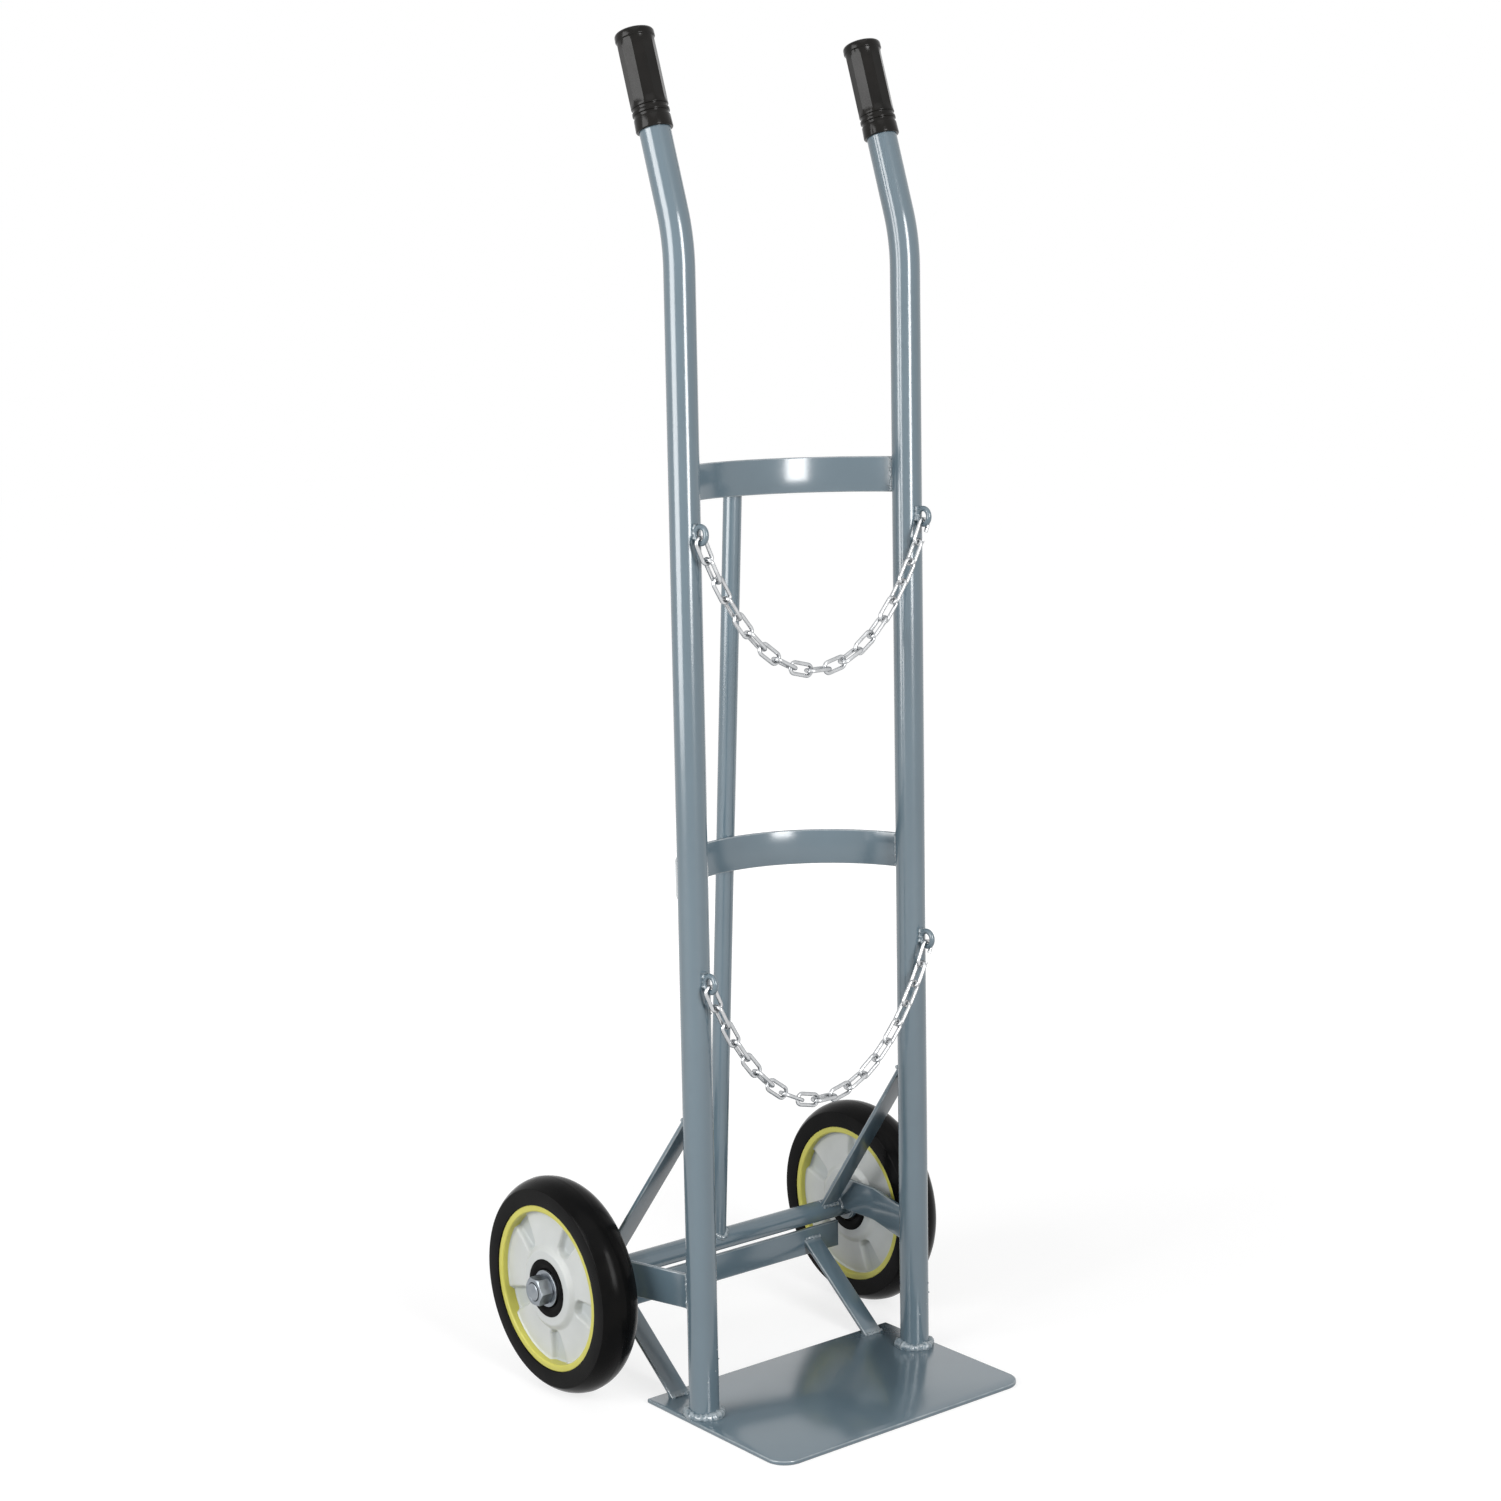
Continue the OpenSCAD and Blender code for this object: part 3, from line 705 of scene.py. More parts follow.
def add_piece(name, form, node=None, slot="frame_paint", body="frame", sharp=38, finish=None):
    """Finished piece at the origin, of a mesh or of shells; its finish is the slot's or one that is named."""
    mesh = mesh_of(name, form) if isinstance(form, list) else form
    clean(mesh, sharp)
    mesh.materials.clear()
    mesh.materials.append(FINISHES[finish or slot])
    obj = new_object(name, mesh)
    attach(obj, body)
    if node:
        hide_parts(node)


def moved(shell, matrix):
    """Shell with its points moved by a matrix."""
    return [matrix @ Vector(p) for p in shell[0]], shell[1]


def on_axle(x, turn, axis="Y", unit=1):
    """Matrix that turns a piece and sets it on the axle's axis."""
    return Matrix.Translation(Vector((x, AXLE_Y, AXLE_Z)) * unit) @ Matrix.Rotation(turn, 4, axis)


def on_wheel(side, unit=1):
    """Matrix from a wheel's own axis, which points outwards, to the trolley."""
    return on_axle(side * WHEEL_X, side * QUARTER, unit=unit)


# Node trees for what repeats or follows a path


def start_tree(name, kind, *labels):
    """Empty node tree with named inputs of one kind and a finish; gives the tree and its input sockets."""
    tree = bpy.data.node_groups.new(name, "GeometryNodeTree")
    kinds = {"Geometry": "Geometry", **dict.fromkeys(labels, kind), "Material": "Material"}
    for label, socket in kinds.items():
        tree.interface.new_socket(label, in_out="INPUT", socket_type="NodeSocket" + socket)
    tree.interface.new_socket("Geometry", in_out="OUTPUT", socket_type="NodeSocketGeometry")
    return tree, tree.nodes.new("NodeGroupInput").outputs


def end_tree(tree, geometry, given):
    """Close a tree with real geometry and its finish."""
    real = add_node(tree, "RealizeInstances", {"Geometry": geometry})
    done = add_node(tree, "SetMaterial", {"Geometry": real, "Material": given["Material"]})
    tree.links.new(done, tree.nodes.new("NodeGroupOutput").inputs[0])
    return tree


def copies_at(tree, points, form, turn):
    """Copies of a form at points, turned by their angles."""
    rotation = add_node(tree, "FunctionNodeEulerToRotation", {"Euler": turn})
    inputs = {"Points": points, "Instance": form, "Rotation": rotation}
    return add_node(tree, "InstanceOnPoints", inputs)


def repeat_round_tree():
    """Copies of one sector, set round the Z axis and joined."""
    tree, given = start_tree("repeat_round", "Int", "Count")
    spots = add_node(tree, "Points", {"Count": given["Count"]})
    step = math_node(tree, "DIVIDE", 2 * pi, given["Count"])
    angle = math_node(tree, "MULTIPLY", add_node(tree, "InputIndex"), step)
    turn = add_node(tree, "ShaderNodeCombineXYZ", {"Z": angle})
    return end_tree(tree, copies_at(tree, spots, given["Geometry"], turn), given)


def chain_tree():
    """Closed wire links, one at each point, turned by the point's own angles."""
    tree, given = start_tree("chain_row", "Float", "Length", "Width", "Corner", "Wire")
    size = {"Width": given["Length"], "Height": given["Width"]}
    outline = add_node(tree, "CurvePrimitiveQuadrilateral", size)
    corner = {"Curve": outline, "Count": LINK_CORNER_STEPS, "Radius": given["Corner"]}
    bent = add_node(tree, "FilletCurve", corner, mode="POLY")
    radius = math_node(tree, "MULTIPLY", given["Wire"], 0.5)
    wire = add_node(tree, "CurvePrimitiveCircle", {"Resolution": LINK_SEGMENTS, "Radius": radius})
    link = add_node(tree, "CurveToMesh", {"Curve": bent, "Profile Curve": wire})
    turn = add_node(tree, "InputNamedAttribute", {"Name": "turn"}, data_type="FLOAT_VECTOR")
    return end_tree(tree, copies_at(tree, given["Geometry"], link, turn), given)


def weld_tree():
    """Lumpy bead along each line of a wire mesh."""
    tree, given = start_tree("weld_bead", "Float", "Size", "Lump", "Ripple", "Seed")
    place = add_node(tree, "InputPosition")

    def uneven(cells, detail):
        inputs = {"Vector": place, "W": given["Seed"], "Scale": cells, "Detail": detail}
        return add_node(tree, "ShaderNodeTexNoise", inputs, noise_dimensions="4D")

    line = add_node(tree, "MeshToCurve", {"Mesh": given["Geometry"]})
    fine = add_node(tree, "ResampleCurve", {"Curve": line, "Length": WELD_STEP}, mode="LENGTH")
    centred = math_node(tree, "SUBTRACT", uneven(WELD_LUMPS, 1.0), 0.5)
    lumps = math_node(tree, "MULTIPLY_ADD", centred, given["Lump"], 1.0)
    run = add_node(tree, "SplineParameter", give="Length")
    wave = math_node(tree, "SINE", math_node(tree, "MULTIPLY", run, 2 * pi / WELD_RIPPLE))
    thick = math_node(tree, "MULTIPLY_ADD", wave, given["Ripple"], lumps)
    scale = math_node(tree, "MULTIPLY", thick, given["Size"])
    profile = add_node(tree, "CurvePrimitiveCircle", {"Resolution": WELD_SEGMENTS, "Radius": 1.0})
    inputs = {"Curve": fine, "Profile Curve": profile, "Scale": scale, "Fill Caps": True}
    bead = add_node(tree, "CurveToMesh", inputs)
    normal = add_node(tree, "InputNormal")
    skin_noise = math_node(tree, "MULTIPLY_ADD", uneven(WELD_SKIN, 0.0), 0.5, -0.25)
    push = math_node(tree, "MULTIPLY", skin_noise, given["Size"])
    offset = add_node(tree, "ShaderNodeVectorMath", {0: normal, "Scale": push}, operation="SCALE")
    rough = add_node(tree, "SetPosition", {"Geometry": bead, "Offset": offset})
    return end_tree(tree, rough, given)


def grown(mesh, tree, finish, **values):
    """Plain mesh that a node tree makes of a mesh, with a finish and the tree's other inputs."""
    values["Material"] = FINISHES[finish]
    obj = new_object("growing", mesh)
    modifier = obj.modifiers.new(tree.name, "NODES")
    modifier.node_group = tree
    for item in tree.interface.items_tree:
        if item.in_out == "INPUT" and item.name in values:
            modifier[item.identifier] = values[item.name]
    made = bpy.data.meshes.new_from_object(obj.evaluated_get(bpy.context.evaluated_depsgraph_get()))
    obj.modifiers.remove(modifier)
    bpy.data.objects.remove(obj)
    bpy.data.meshes.remove(mesh)
    return made


REPEAT_ROUND = repeat_round_tree()
CHAIN_ROW = chain_tree()
WELD_BEAD = weld_tree()


def turned(name, outline_at, count, steps, finish):
    """Mesh of count equal sectors; outline_at gives the closed outline at an angle in degrees."""
    half = 180 / count
    sector = skin([spun(outline_at(a), radians(a)) for a in spaced(-half, half, steps)])
    return grown(mesh_of(name, [sector]), REPEAT_ROUND, finish, Count=count)


def welds(name, lines, node=None):
    """Weld beads along lines of points, as one piece of the frame."""
    verts, edges = [], []
    for line in lines:
        base = len(verts)
        verts += [Vector(p) * MM for p in line]
        edges += [(base + i, base + i + 1) for i in range(len(line) - 1)]
    wire = bpy.data.meshes.new(name)
    wire.from_pydata(verts, edges, [])
    size, lump, ripple, seed = WELDS[name]
    bead = grown(wire, WELD_BEAD, "frame_paint", Size=size * MM, Lump=lump, Ripple=ripple, Seed=seed)
    add_piece(name, bead, node, sharp=70)


# Frame


def smoothstep(value):
    """0 to 1 with soft ends."""
    value = min(max(value, 0.0), 1.0)
    return value * value * (3 - 2 * value)


def toe_plate():
    """Steel plate with rounded front corners and broken edges."""
    levels = EDGE_STEPS + [(PLATE_THICK - rise, inset) for rise, inset in reversed(EDGE_STEPS)]
    rings = []
    for z, inset in levels:
        w, front, rear = PLATE_HALF - inset, PLATE_FRONT - inset, PLATE_REAR - inset
        corners = [(-w, -front), (w, -front), (w, rear), (-w, rear)]
        radii = [PLATE_FRONT_CORNER - inset] * 2 + [PLATE_REAR_CORNER - inset] * 2
        rings.append([(x, y, z) for x, y in rounded(corners, radii, PLATE_CORNER_STEPS)])
    add_piece("toe_plate", [skin(rings, caps=True)], "base_plate")


def uprights():
    """Two tubes from the plate to the ends of the handles, bent backwards near the top."""
    tangent = BEND_RADIUS * tan(BEND_ANGLE / 2)
    bend_start = BEND_HEIGHT - tangent
    path = [(0, z) for z in spaced(PLATE_THICK, bend_start, TUBE_STEPS)[:-1]]
    path += [(BEND_RADIUS - u, bend_start + v) for u, v in arc(BEND_RADIUS, 0, BEND_ANGLE, BEND_STEPS)]
    runs = spaced(tangent, HANDLE_TOTAL, HANDLE_STEPS)[1:]
    path += [(run * sin(BEND_ANGLE), BEND_HEIGHT + run * cos(BEND_ANGLE)) for run in runs]
    for name, side in SIDES:
        points = with_rims([(side * UPRIGHT_X, y, z) for y, z in path])
        shell = sweep(points, circle(TUBE_RADIUS, TUBE_SEGMENTS), ACROSS)
        add_piece(f"{name}_upright_tube", [shell], f"{name}_upright")


def grip_outline(angle):
    """Outline of a grip at an angle inside one of its flats; a point has its radius, height and corner."""
    neck = GRIP_LENGTH - GRIP_FLANGE
    ring_start = GRIP_COLLAR + GRIP_GROOVE
    ring_end = ring_start + GRIP_GROOVE
    body_start = ring_end + GRIP_GROOVE
    floor = (GRIP_RADIUS + GRIP_BORE) / 2
    flat = GRIP_RADIUS * cos(pi / GRIP_FACETS) / cos(radians(angle))
    points = [
        (GRIP_BORE, 0, 0.3),
        (GRIP_RADIUS, 0, 1.2),
        (GRIP_RADIUS - 0.3, GRIP_COLLAR, 0.8),
        (floor, GRIP_COLLAR, 0.6),
        (floor, ring_start, 0.6),
        (GRIP_RADIUS, ring_start, 0.9),
        (GRIP_RADIUS, ring_end, 0.9),
        (floor, ring_end, 0.6),
        (floor, body_start, 0.6),
        (GRIP_RADIUS, body_start, 1.0),
    ]
    for share in spaced(0, 1, GRIP_STATIONS)[1:-1]:
        fade = smoothstep(min(share, 1 - share) / GRIP_FADE)
        radius = GRIP_RADIUS + (flat - GRIP_RADIUS) * fade
        points.append((radius, body_start + (neck - body_start) * share, 0))
    points += [
        (GRIP_RADIUS, neck, 0.8),
        (GRIP_FLANGE_RADIUS, neck + 0.4, 2.2),
        (GRIP_FLANGE_RADIUS, GRIP_LENGTH - 2, 3.2),
        (GRIP_FLANGE_RADIUS * 0.45, GRIP_LENGTH, 6),
        (0, GRIP_LENGTH, 0),
        (0, GRIP_LENGTH - GRIP_END_WALL, 0),
        (GRIP_BORE, GRIP_LENGTH - GRIP_END_WALL, 0),
    ]
    return rounded(points, steps=4)


def grips():
    """Moulded rubber grips with ten flats, set on the handles."""
    for name, side in SIDES:
        mesh = turned(f"{name}_hand_grip", grip_outline, GRIP_FACETS, GRIP_FACET_STEPS, "grip_rubber")
        bend = Matrix.Translation(Vector((side * UPRIGHT_X, 0, BEND_HEIGHT)) * MM)
        handle = bend @ Matrix.Rotation(-BEND_ANGLE, 4, "X")
        start = Matrix.Translation((0, 0, GRIP_START * MM))
        mesh.transform(handle @ start @ Matrix.Rotation(GRIP_TURN, 4, "Z"))
        add_piece(f"{name}_hand_grip", mesh, f"{name}_grip", "grip_rubber", sharp=26)


# The back post's top rests against the back of the upper band, and the middle band against its front
POST_RUN = AXLE_Y - UPPER_BAND_BOW - BAND_THICK / 2
POST_RISE = UPPER_BAND_Z + BAND_DEPTH / 2 - POST_DROP - AXLE_Z
POST_LEAN = atan2(POST_RUN, POST_RISE) - asin(POST_RADIUS / hypot(POST_RUN, POST_RISE))
POST_LENGTH = (POST_RISE + POST_RADIUS * sin(POST_LEAN)) / cos(POST_LEAN)
MIDDLE_BAND_BOW = (
    AXLE_Y
    - (MIDDLE_BAND_Z + BAND_DEPTH / 2 - AXLE_Z) * tan(POST_LEAN)
    - POST_RADIUS / cos(POST_LEAN)
    - BAND_THICK / 2
)
BANDS = {"upper": (UPPER_BAND_Z, UPPER_BAND_BOW), "middle": (MIDDLE_BAND_Z, MIDDLE_BAND_BOW)}


def band_arc(bow):
    """Radius and half angle of a band's arc through the axes of the uprights."""
    radius = (UPRIGHT_X**2 + bow**2) / (2 * bow)
    return radius, atan2(UPRIGHT_X, radius - bow)


def cradle_bands():
    """Flat bars bowed backwards between the uprights."""
    for name, (height, bow) in BANDS.items():
        radius, half = band_arc(bow)
        reach = half * (1 - BAND_TUCK * TUBE_RADIUS / (radius * half))
        path = [(x, bow - radius + y, height) for y, x in arc(radius, -reach, reach, BAND_STEPS)]
        add_piece(f"{name}_cradle_bar", [flat_bar(path, BAND_DEPTH, BAND_THICK, UP)], f"{name}_band")


def back_post():
    """Slim tube from the axle to the upper band, open at the top."""
    bore = POST_RADIUS - POST_WALL
    deep = POST_LENGTH - POST_BORE_DEPTH
    points = [
        (0, POST_FOOT, 0),
        (POST_RADIUS, POST_FOOT, 0),
        (POST_RADIUS, POST_FOOT + WEAR_AND_HIGHLIGHT_REACH, 0),
        (POST_RADIUS, POST_LENGTH - WEAR_AND_HIGHLIGHT_REACH, 0),
        (POST_RADIUS, POST_LENGTH, 0.5),
        (bore, POST_LENGTH, 0.4),
        (bore, deep, 0),
        (0, deep, 0),
    ]
    shell = moved(revolve(rounded(points, steps=3), POST_SEGMENTS), on_axle(0, POST_LEAN, "X"))
    add_piece("back_post_tube", [shell], "back_post")


def axle_bar():
    """Round bar with plated threads on its turned-down ends."""
    chamfer = AXLE_CHAMFER
    end = [(0, AXLE_SHOULDER), (AXLE_RADIUS - chamfer, AXLE_SHOULDER), (AXLE_RADIUS, AXLE_SHOULDER - chamfer)]
    outline = end + [(AXLE_RADIUS, z) for z in AXLE_RINGS] + [(r, -z) for r, z in reversed(end)]
    add_piece("axle_bar", [moved(revolve(outline, AXLE_SEGMENTS), on_axle(0, QUARTER))], "axle")

    root = THREAD_RADIUS - THREAD_DEPTH
    thread = [(0, AXLE_END), (root, AXLE_END), (THREAD_RADIUS, AXLE_END - THREAD_DEPTH)]
    z = AXLE_END - THREAD_LEAD
    while z > AXLE_SHOULDER + THREAD_PITCH:
        thread += [(root, z - THREAD_PITCH / 2), (THREAD_RADIUS, z - THREAD_PITCH)]
        z -= THREAD_PITCH
    thread += [(THREAD_RADIUS, AXLE_SHOULDER), (0, AXLE_SHOULDER)]
    for name, side in SIDES:
        shell = moved(revolve(thread, AXLE_SEGMENTS), on_axle(0, side * QUARTER))
        add_piece(f"{name}_axle_thread", [shell], slot="zinc", finish="dull_zinc")


def under_bar():
    """Flat bar on edge under the axle."""
    middle, depth = (UNDER_BAR_LOW + UNDER_BAR_TOP) / 2, UNDER_BAR_TOP - UNDER_BAR_LOW
    path = [(x, AXLE_Y, middle) for x in spaced(-UNDER_BAR_HALF, UNDER_BAR_HALF, BAR_STEPS)]
    add_piece("axle_under_bar", [flat_bar(path, depth, UNDER_BAR_THICK, UP, True, True)], "axle_rib")


def axle_arms():
    """Flat bars on edge from the uprights to the axle, set outwards on the way."""
    low, high = ARM_Z
    for name, side in SIDES:
        path = []
        for y in spaced(ARM_START, AXLE_Y, ARM_STEPS):
            shares = [(y + d - ARM_BEND_START) / (ARM_BEND_END - ARM_BEND_START) for d in ARM_BEND_EASE]
            share = sum(min(max(v, 0.0), 1.0) for v in shares) / len(shares)
            path.append((side * (ARM_NEAR_X + (ARM_FAR_X - ARM_NEAR_X) * share), y, (low + high) / 2))
        shell = flat_bar(path, high - low, ARM_THICK, UP, round_end=True)
        add_piece(f"{name}_axle_strap", [shell], f"{name}_axle_arm")


def stays():
    """Flat braces above and below the axle; the lower ones are cut to the plate and the under bar."""
    size = len(bar_section(*STAY_SECTION))
    for name, side in SIDES:
        top = Vector((side * UPRIGHT_X, 0, UPPER_STAY_Z))
        low = Vector((side * (UPRIGHT_X + UPPER_STAY_SPLAY), AXLE_Y, AXLE_Z))
        path = [top.lerp(low, s) for s in spaced(*UPPER_STAY_SPAN, BAR_STEPS)]
        shell = flat_bar(path, *STAY_SECTION, ACROSS)
        add_piece(f"{name}_upper_brace", [shell], f"{name}_upper_stay")

        foot = Vector((side * LOWER_STAY_X, LOWER_STAY_FOOT_Y, PLATE_THICK))
        head = Vector((side * LOWER_STAY_X, UNDER_BAR_FRONT, LOWER_STAY_TOP_Z))
        along = (head - foot).normalized()
        path = [foot.lerp(head, s) for s in spaced(0, 1, BAR_STEPS)]
        verts, faces = flat_bar(path, *STAY_SECTION, ACROSS)
        for i in range(size):
            verts[i] += along * ((PLATE_THICK - verts[i].z) / along.z)
            verts[-1 - i] += along * ((UNDER_BAR_FRONT - verts[-1 - i].y) / along.y)
        add_piece(f"{name}_lower_brace", [(verts, faces)], f"{name}_lower_stay")


def chain_eyes():
    """Wire rings on the front of the uprights."""
    section = [(EYE_RADIUS + u, v) for u, v in circle(EYE_WIRE, WIRE_SEGMENTS)]
    turn = Matrix.Rotation(QUARTER, 4, "Y")
    for name, height in EYE_HEIGHTS.items():
        places = [Matrix.Translation((side * UPRIGHT_X, EYE_Y, height)) @ turn for side in SIGNS]
        shells = [moved(revolve(section, EYE_SEGMENTS), place) for place in places]
        add_piece(f"{name}_eye_rings", shells, f"{name}_chain_eyes")


def spatter_lines():
    """Short lines for the drops on the uprights."""
    lines = []
    for angle, z in SPATTER:
        a = radians(angle)
        x, y = TUBE_RADIUS * cos(a), TUBE_RADIUS * sin(a)
        lines += [[(side * UPRIGHT_X + x, y, z + rise) for rise in (0, SPATTER_LENGTH)] for side in SIGNS]
    return lines


def band_lines():
    """Upright weld lines where a band's faces come out of the tubes."""
    lines = []
    for height, bow in BANDS.values():
        radius, start = band_arc(bow)
        reach = BAND_DEPTH / 2 - BAND_WELD_INSET
        for ring in (radius - BAND_THICK / 2, radius + BAND_THICK / 2):
            x, y, a = UPRIGHT_X, 0, start
            while hypot(x - UPRIGHT_X, y) < TUBE_RADIUS + WELD_OFFSET:
                x, y = ring * sin(a), bow - radius + ring * cos(a)
                a -= BAND_WELD_SEARCH
            lines += [[(side * x, y, height + s * reach) for s in (-1, 0, 1)] for side in SIGNS]
    return lines


def brace_lines(side):
    """Weld lines at both ends of the braces and the axle arm on one side."""
    head = []
    for u in spaced(-STAY_HEAD_WELD_HALF, STAY_HEAD_WELD_HALF, BAR_STEPS):
        y = sqrt(TUBE_RADIUS**2 - u**2)
        z = UPPER_STAY_Z - y * (UPPER_STAY_Z - AXLE_Z) / AXLE_Y + STAY_HEAD_WELD_RISE
        head.append((side * UPRIGHT_X + u, y + WELD_LIFT, z))
    axle_x, foot_x = side * (UPRIGHT_X + UPPER_STAY_SPLAY), side * LOWER_STAY_X
    spots = [(axle_x, AXLE_Y + y, AXLE_Z + z) for y, z in STAY_AXLE_WELDS]
    spots += [(foot_x, LOWER_STAY_FOOT_Y + y, PLATE_THICK + STAY_FOOT_WELD_RISE) for y in STAY_FOOT_WELDS]
    spots += [(foot_x, UNDER_BAR_FRONT - STAY_TOP_WELD_LIFT, LOWER_STAY_TOP_Z + z) for z in STAY_TOP_WELDS]
    lines = [head] + [[(x + u, y, z) for u in STAY_WELD_ACROSS] for x, y, z in spots]
    faces = (-ARM_THICK / 2, ARM_THICK / 2)
    heights = (ARM_Z[0] + ARM_WELD_INSET, sum(ARM_Z) / 2, ARM_Z[1] - ARM_WELD_INSET)
    for x in (ARM_NEAR_X + face for face in faces):
        y = sqrt(TUBE_RADIUS**2 - (x - UPRIGHT_X) ** 2) + WELD_LIFT
        lines.append([(side * x, y, z) for z in heights])
    bend = [(AXLE_Y + AXLE_RADIUS * cos(a), AXLE_Z + AXLE_RADIUS * sin(a)) for a in ARM_WELD_TURNS]
    return lines + [[(side * (ARM_FAR_X + face), y, z) for y, z in bend] for face in faces]


def weld_beads():
    """All weld beads of the frame."""
    ring = arc(TUBE_RADIUS + FOOT_WELD_OFFSET, 0, FOOT_WELD_TURN, WELD_POINTS)
    z = PLATE_THICK + FOOT_WELD_RISE
    feet = [[(side * UPRIGHT_X + x, y, z) for x, y in ring] for side in SIGNS]
    welds("foot_weld_beads", feet, "foot_welds")
    welds("weld_spatter", spatter_lines())
    ring = arc(POST_RADIUS + WELD_OFFSET, 0, 2 * pi, WELD_POINTS)
    post = [(x, AXLE_Y + y, AXLE_Z + sqrt(AXLE_RADIUS**2 - y**2) + WELD_LIFT) for x, y in ring]
    welds("post_weld_bead", [post])
    welds("band_weld_beads", band_lines())
    spots = [(side * UPRIGHT_X, height) for height in EYE_HEIGHTS.values() for side in SIGNS]
    front = -TUBE_RADIUS - WELD_OFFSET
    welds("eye_weld_beads", [[(x, front, height + z) for z in EYE_WELD_RISES] for x, height in spots])
    welds("brace_weld_beads", [line for side in SIGNS for line in brace_lines(side)])


toe_plate()
uprights()
grips()
cradle_bands()
back_post()
axle_bar()
under_bar()
axle_arms()
stays()
chain_eyes()
weld_beads()


# Wheels


def tyre_outline():
    """Section of the tyre: flat sides, round crown and a fine mould line."""
    arc_centre = TYRE_RADIUS - TYRE_CROWN
    edge = asin(TYRE_HALF_WIDTH / TYRE_CROWN)
    points = [(RIM_RADIUS, -TYRE_HALF_WIDTH, TYRE_BEAD), (RIM_RADIUS, TYRE_HALF_WIDTH, TYRE_BEAD)]
    for k, a in enumerate(spaced(edge, -edge, TYRE_STEPS)):
        dip = 0.0 if 2 * k == TYRE_STEPS else MOULD_LINE
        corner = TYRE_SHOULDER if k in (0, TYRE_STEPS) else 0
        points.append((arc_centre + TYRE_CROWN * cos(a) - dip, TYRE_CROWN * sin(a), corner))
    return rounded(points, steps=4)


def ring_outline(inner, outer, low, high, corners, steps=3):
    """Section of a flat ring with broken edges."""
    return rounded([(inner, low), (outer, low), (outer, high), (inner, high)], corners, steps)


def pocket_share(radius, angle):
    """0 on the hub's lobes, 1 on the floor of the pocket in the middle of a sector."""
    inside_radius = radius - POCKET_INNER
    inside_angle = radians(POCKET_HALF_ANGLE - abs(angle)) * radius
    u, v = POCKET_CORNER - inside_radius, POCKET_CORNER - inside_angle
    if u > 0 and v > 0:
        inside = POCKET_CORNER - hypot(u, v)
    else:
        inside = min(inside_radius, inside_angle)
    return smoothstep((inside + POCKET_WALL / 2) / POCKET_WALL)


def pocket_at(point):
    """Pocket share at a point of the hub in the wheel's own frame."""
    sector = 360 / POCKETS
    angle = (degrees(atan2(point.y, point.x)) + sector / 2) % sector - sector / 2
    return pocket_share(hypot(point.x, point.y), angle)


def hub_face_height(radius, angle):
    """Height of the hub's face, with a pocket in the middle of the sector."""
    cone = min(max((radius - HUB_SLOPE_END) / (RIM_BORE - HUB_SLOPE_END), 0.0), 1.0)
    web = HUB_ROOT + (HUB_WEB - HUB_ROOT) * cone
    slope_run = HUB_SLOPE_END - HUB_BOSS + 2 * HUB_SLOPE_EASE
    slope = smoothstep((radius - HUB_BOSS + HUB_SLOPE_EASE) / slope_run)
    height = HUB_FACE + (web - HUB_FACE) * slope
    height += (POCKET_FLOOR - height) * pocket_share(radius, angle)
    fillet = max(0.0, radius - (RIM_BORE - HUB_FILLET)) / HUB_FILLET
    return height + HUB_FILLET_RISE * fillet * fillet


def hub_outline(angle):
    """Closed outline of the hub at an angle inside one of its sectors."""
    face = [(r, hub_face_height(r, angle)) for r in HUB_RADII]
    face[0] = (HUB_SEAT, HUB_FACE - HUB_MOUTH)
    upper = [(HUB_BORE, HUB_LAND), (HUB_SEAT, HUB_LAND)] + face
    return upper + [(r, -z) for r, z in reversed(upper)]


def nut_outline(angle):
    """Closed outline of a hexagon nut with chamfered ends."""
    flat = NUT_FLAT / cos(radians(angle))
    corner = NUT_FLAT / cos(pi / NUT_SIDES)
    half, bore = NUT_THICK / 2, THREAD_RADIUS + NUT_PLAY
    mouth, neck = bore + NUT_BORE_CHAMFER, half - NUT_BORE_CHAMFER
    side = []
    for share in spaced(0, 1, NUT_CHAMFER_STEPS):
        side.append((min(NUT_FACE + (corner - NUT_FACE) * share, flat), half - NUT_CHAMFER * share))
    inside = [(mouth, -half), (bore, -neck), (bore, neck), (mouth, half)]
    return inside + side + [(r, -z) for r, z in side[::-1]]


def round_wheel(side, *outlines, segments=RING_SEGMENTS):
    """Shells of outlines turned round a wheel's axis."""
    return [moved(revolve(outline, segments), on_wheel(side)) for outline in outlines]


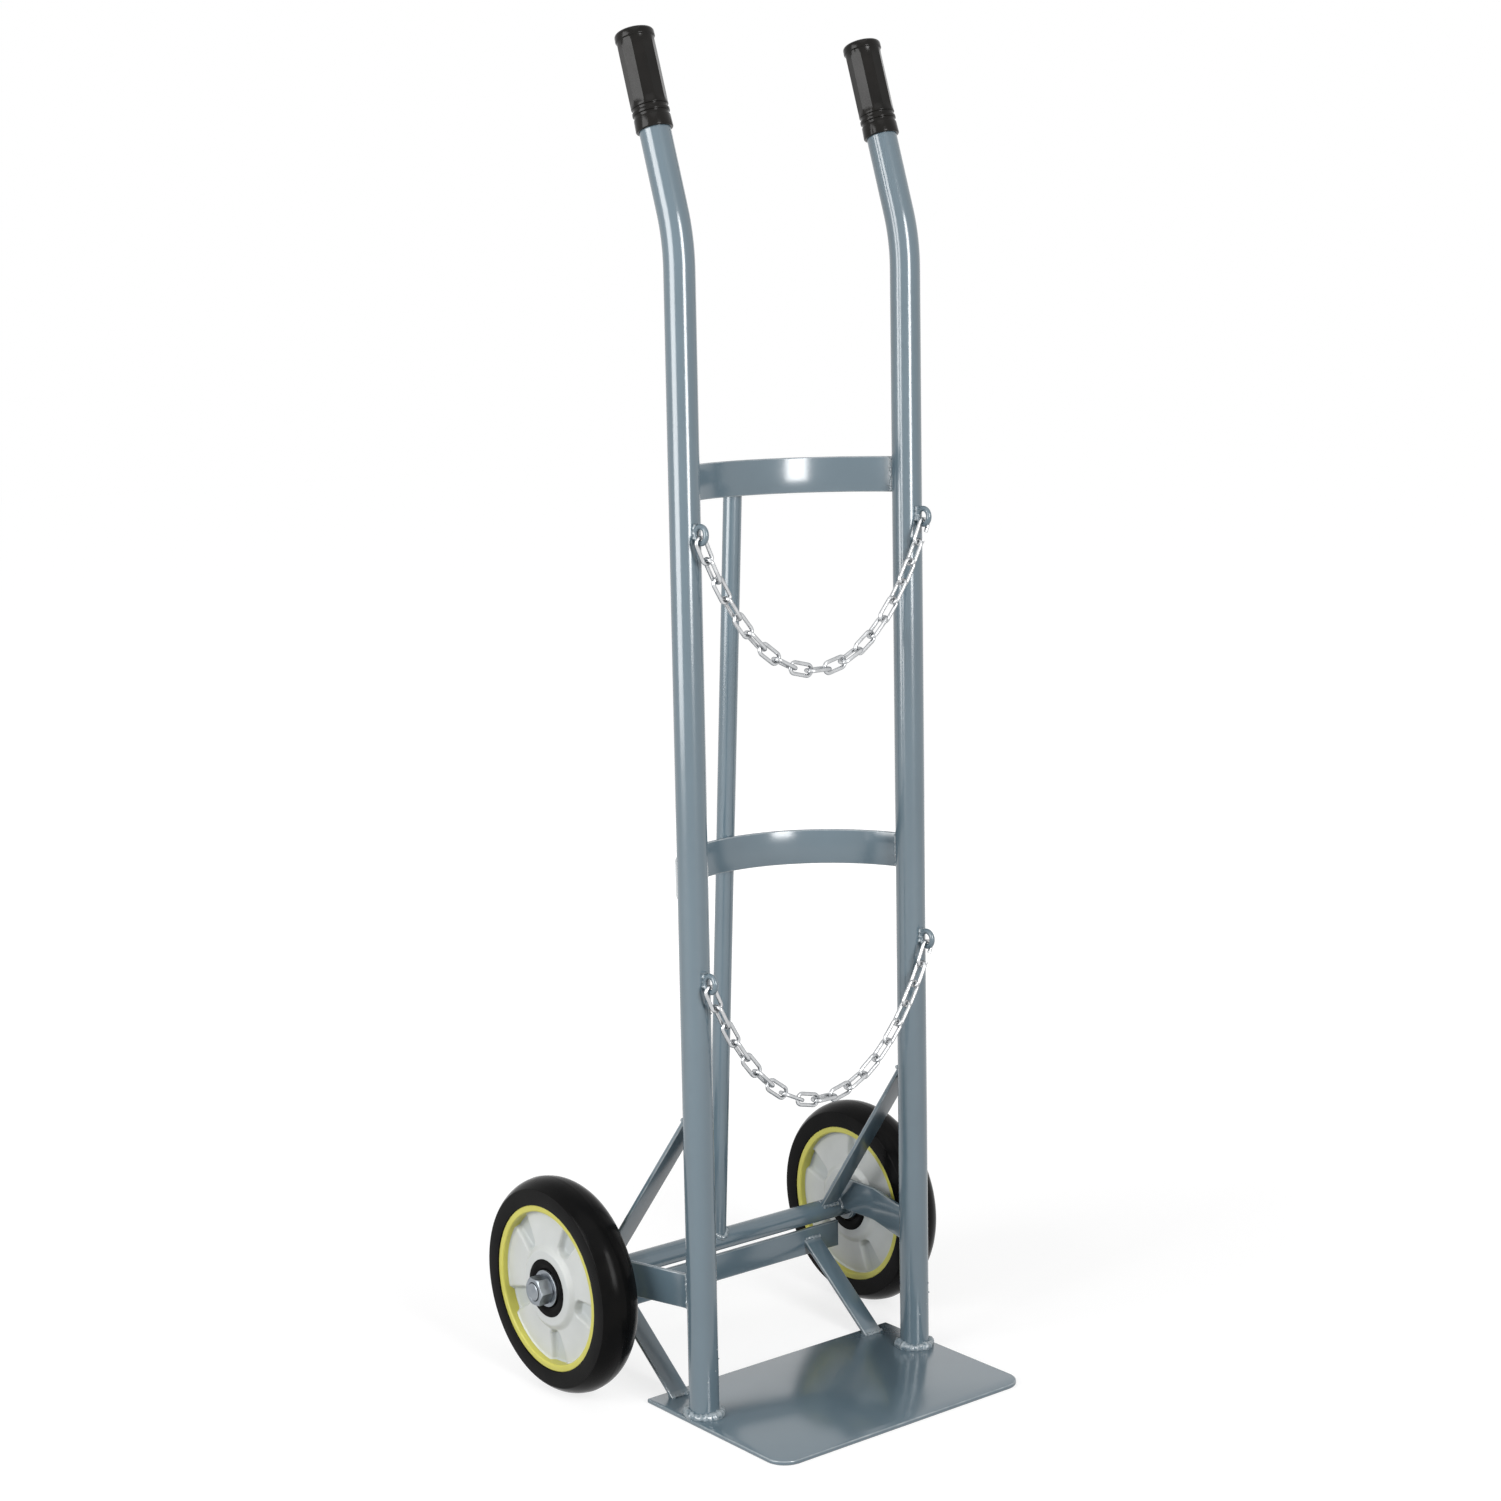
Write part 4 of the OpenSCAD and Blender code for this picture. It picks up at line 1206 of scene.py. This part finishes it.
def wheels():
    """Tyre, rim, hub, bearing covers and fastening of both wheels."""
    rim = ring_outline(RIM_BORE, RIM_RADIUS, -RIM_HALF_WIDTH, RIM_HALF_WIDTH, RIM_CORNERS, 5)
    top = BEARING_FACE + WASHER_THICK
    washer = ring_outline(WASHER_BORE, WASHER_RADIUS, BEARING_FACE, top, WASHER_EDGE)
    collar_back = -BEARING_FACE - COLLAR_WIDTH
    collar = ring_outline(COLLAR_BORE, COLLAR_RADIUS, collar_back, -BEARING_FACE, COLLAR_EDGE)
    covers = [[(r, sign * (BEARING_FACE + z)) for r, z in COVER_SECTION] for sign in SIGNS]
    covers = [rounded(section, COVER_EDGE, 2) for section in covers]
    for name, side in SIDES:
        body = f"{name}_wheel"
        for word, outline, slot in (("tyre", tyre_outline(), "tyre_rubber"), ("rim", rim, "rim_plastic")):
            shells = round_wheel(side, outline, segments=WHEEL_SEGMENTS)
            add_piece(f"{name}_wheel_{word}", shells, f"{name}_{word}", slot, body, sharp=45)

        hub = turned(f"{name}_wheel_hub", hub_outline, POCKETS, HUB_STEPS, "hub_plastic")
        # The pocket share also darkens the pocket floors in the finish, as painted shade
        pocket = hub.attributes.new("pocket", "FLOAT", "POINT")
        pocket.data.foreach_set("value", [pocket_at(v.co / MM) for v in hub.vertices])
        hub.transform(on_wheel(side, MM) @ Matrix.Rotation(POCKET_START, 4, "Z"))
        add_piece(f"{name}_wheel_hub", hub, f"{name}_hub", "hub_plastic", body, sharp=55)

        shells = round_wheel(side, *covers)
        add_piece(f"{name}_bearing_covers", shells, f"{name}_bearing_seals", "seal_rubber", body)

        shells = round_wheel(side, washer)
        add_piece(f"{name}_wheel_washer", shells, f"{name}_washer", "zinc", finish="dull_zinc")

        nut = turned(f"{name}_wheel_nut", nut_outline, NUT_SIDES, NUT_STEPS, "zinc")
        nut.transform(on_wheel(side, MM) @ Matrix.Translation((0, 0, (top + NUT_THICK / 2) * MM)))
        add_piece(f"{name}_wheel_nut", nut, f"{name}_axle_nut", "zinc", sharp=22, finish="dull_zinc")

        add_piece(f"{name}_stop_collar", round_wheel(side, collar), f"{name}_axle_collar")

        for node in ("outer_rings", "inner_rings", "balls"):
            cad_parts[f"{name}_bearing_{node}"].data.materials[0] = FINISHES["bearing_steel"]
        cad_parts[f"{name}_bearing_spacer"].data.materials[0] = FINISHES["zinc"]


wheels()


# Chains


def chain_hang():
    """Middle and slope of each link of a chain that hangs between its eyes."""
    pitch = LINK_INSIDE_LENGTH - LINK_GAP
    hold = EYE_WIRE + LINK_GAP / 2
    middle = (LINK_COUNT - 1) / 2
    low, high = 0.01, 10 * LINK_COUNT
    for _ in range(HANG_TRIES):
        pull = (low + high) / 2
        angles = [atan((i - middle) / pull) for i in range(LINK_COUNT)]
        run = pitch * sum(cos(a) for a in angles)
        if run > 2 * UPRIGHT_X + 2 * hold * cos(angles[0]):
            high = pull
        else:
            low = pull
    x = -UPRIGHT_X - hold * cos(angles[0])
    z = -EYE_RADIUS - hold * sin(angles[0])
    places = []
    for a in angles:
        places.append((x + pitch / 2 * cos(a), z + pitch / 2 * sin(a), a))
        x, z = x + pitch * cos(a), z + pitch * sin(a)
    return places


def hook_path():
    """Wire of the open end link, along X and lying flat."""
    half = (LINK_INSIDE_LENGTH - LINK_INSIDE_WIDTH) / 2
    bow = (LINK_INSIDE_WIDTH + LINK_WIRE) / 2
    bend = arc(bow, -QUARTER, QUARTER, HOOK_STEPS)
    path = [(half - HOOK_PRONG, -bow, 0), (half - HOOK_PRONG / 2, -bow, 0)]
    path += [(half + x, y, 0) for x, y in bend]
    path += [(half * s, bow, 0) for s in (0.5, 0, -0.5)]
    return path + [(-half - x, -y, 0) for x, y in bend]


def chains():
    """Rows of closed links, each with an open hook link at its right end."""
    places = chain_hang()
    for name, height in EYE_HEIGHTS.items():
        points, turns = [], []
        for i, (x, z, slope) in enumerate(places):
            points.append(Vector((x, EYE_Y, height + z)))
            turns.append((QUARTER if i % 2 == 0 else 0.0, -slope, 0.0))
        spots = bpy.data.meshes.new(f"{name}_chain_row")
        spots.from_pydata([p * MM for p in points[:-1]], [], [])
        turn = spots.attributes.new("turn", "FLOAT_VECTOR", "POINT")
        turn.data.foreach_set("vector", [a for t in turns[:-1] for a in t])
        length, width = (inside + LINK_WIRE for inside in (LINK_INSIDE_LENGTH, LINK_INSIDE_WIDTH))
        sizes = {"Length": length, "Width": width, "Corner": LINK_CORNER, "Wire": LINK_WIRE}
        row = grown(spots, CHAIN_ROW, "zinc", **{label: size * MM for label, size in sizes.items()})
        add_piece(f"{name}_chain_row", row, f"{name}_chain_links", "zinc", f"{name}_chain", sharp=60)

        roll, tilt, _ = turns[-1]
        place = Matrix.Translation(points[-1]) @ Matrix.Rotation(tilt, 4, "Y") @ Matrix.Rotation(roll, 4, "X")
        wire = sweep(hook_path(), circle(LINK_WIRE / 2, WIRE_SEGMENTS), UP)
        shells = [moved(wire, place)]
        add_piece(f"{name}_chain_open_link", shells, f"{name}_chain_hook", "zinc", f"{name}_chain", sharp=60)


chains()
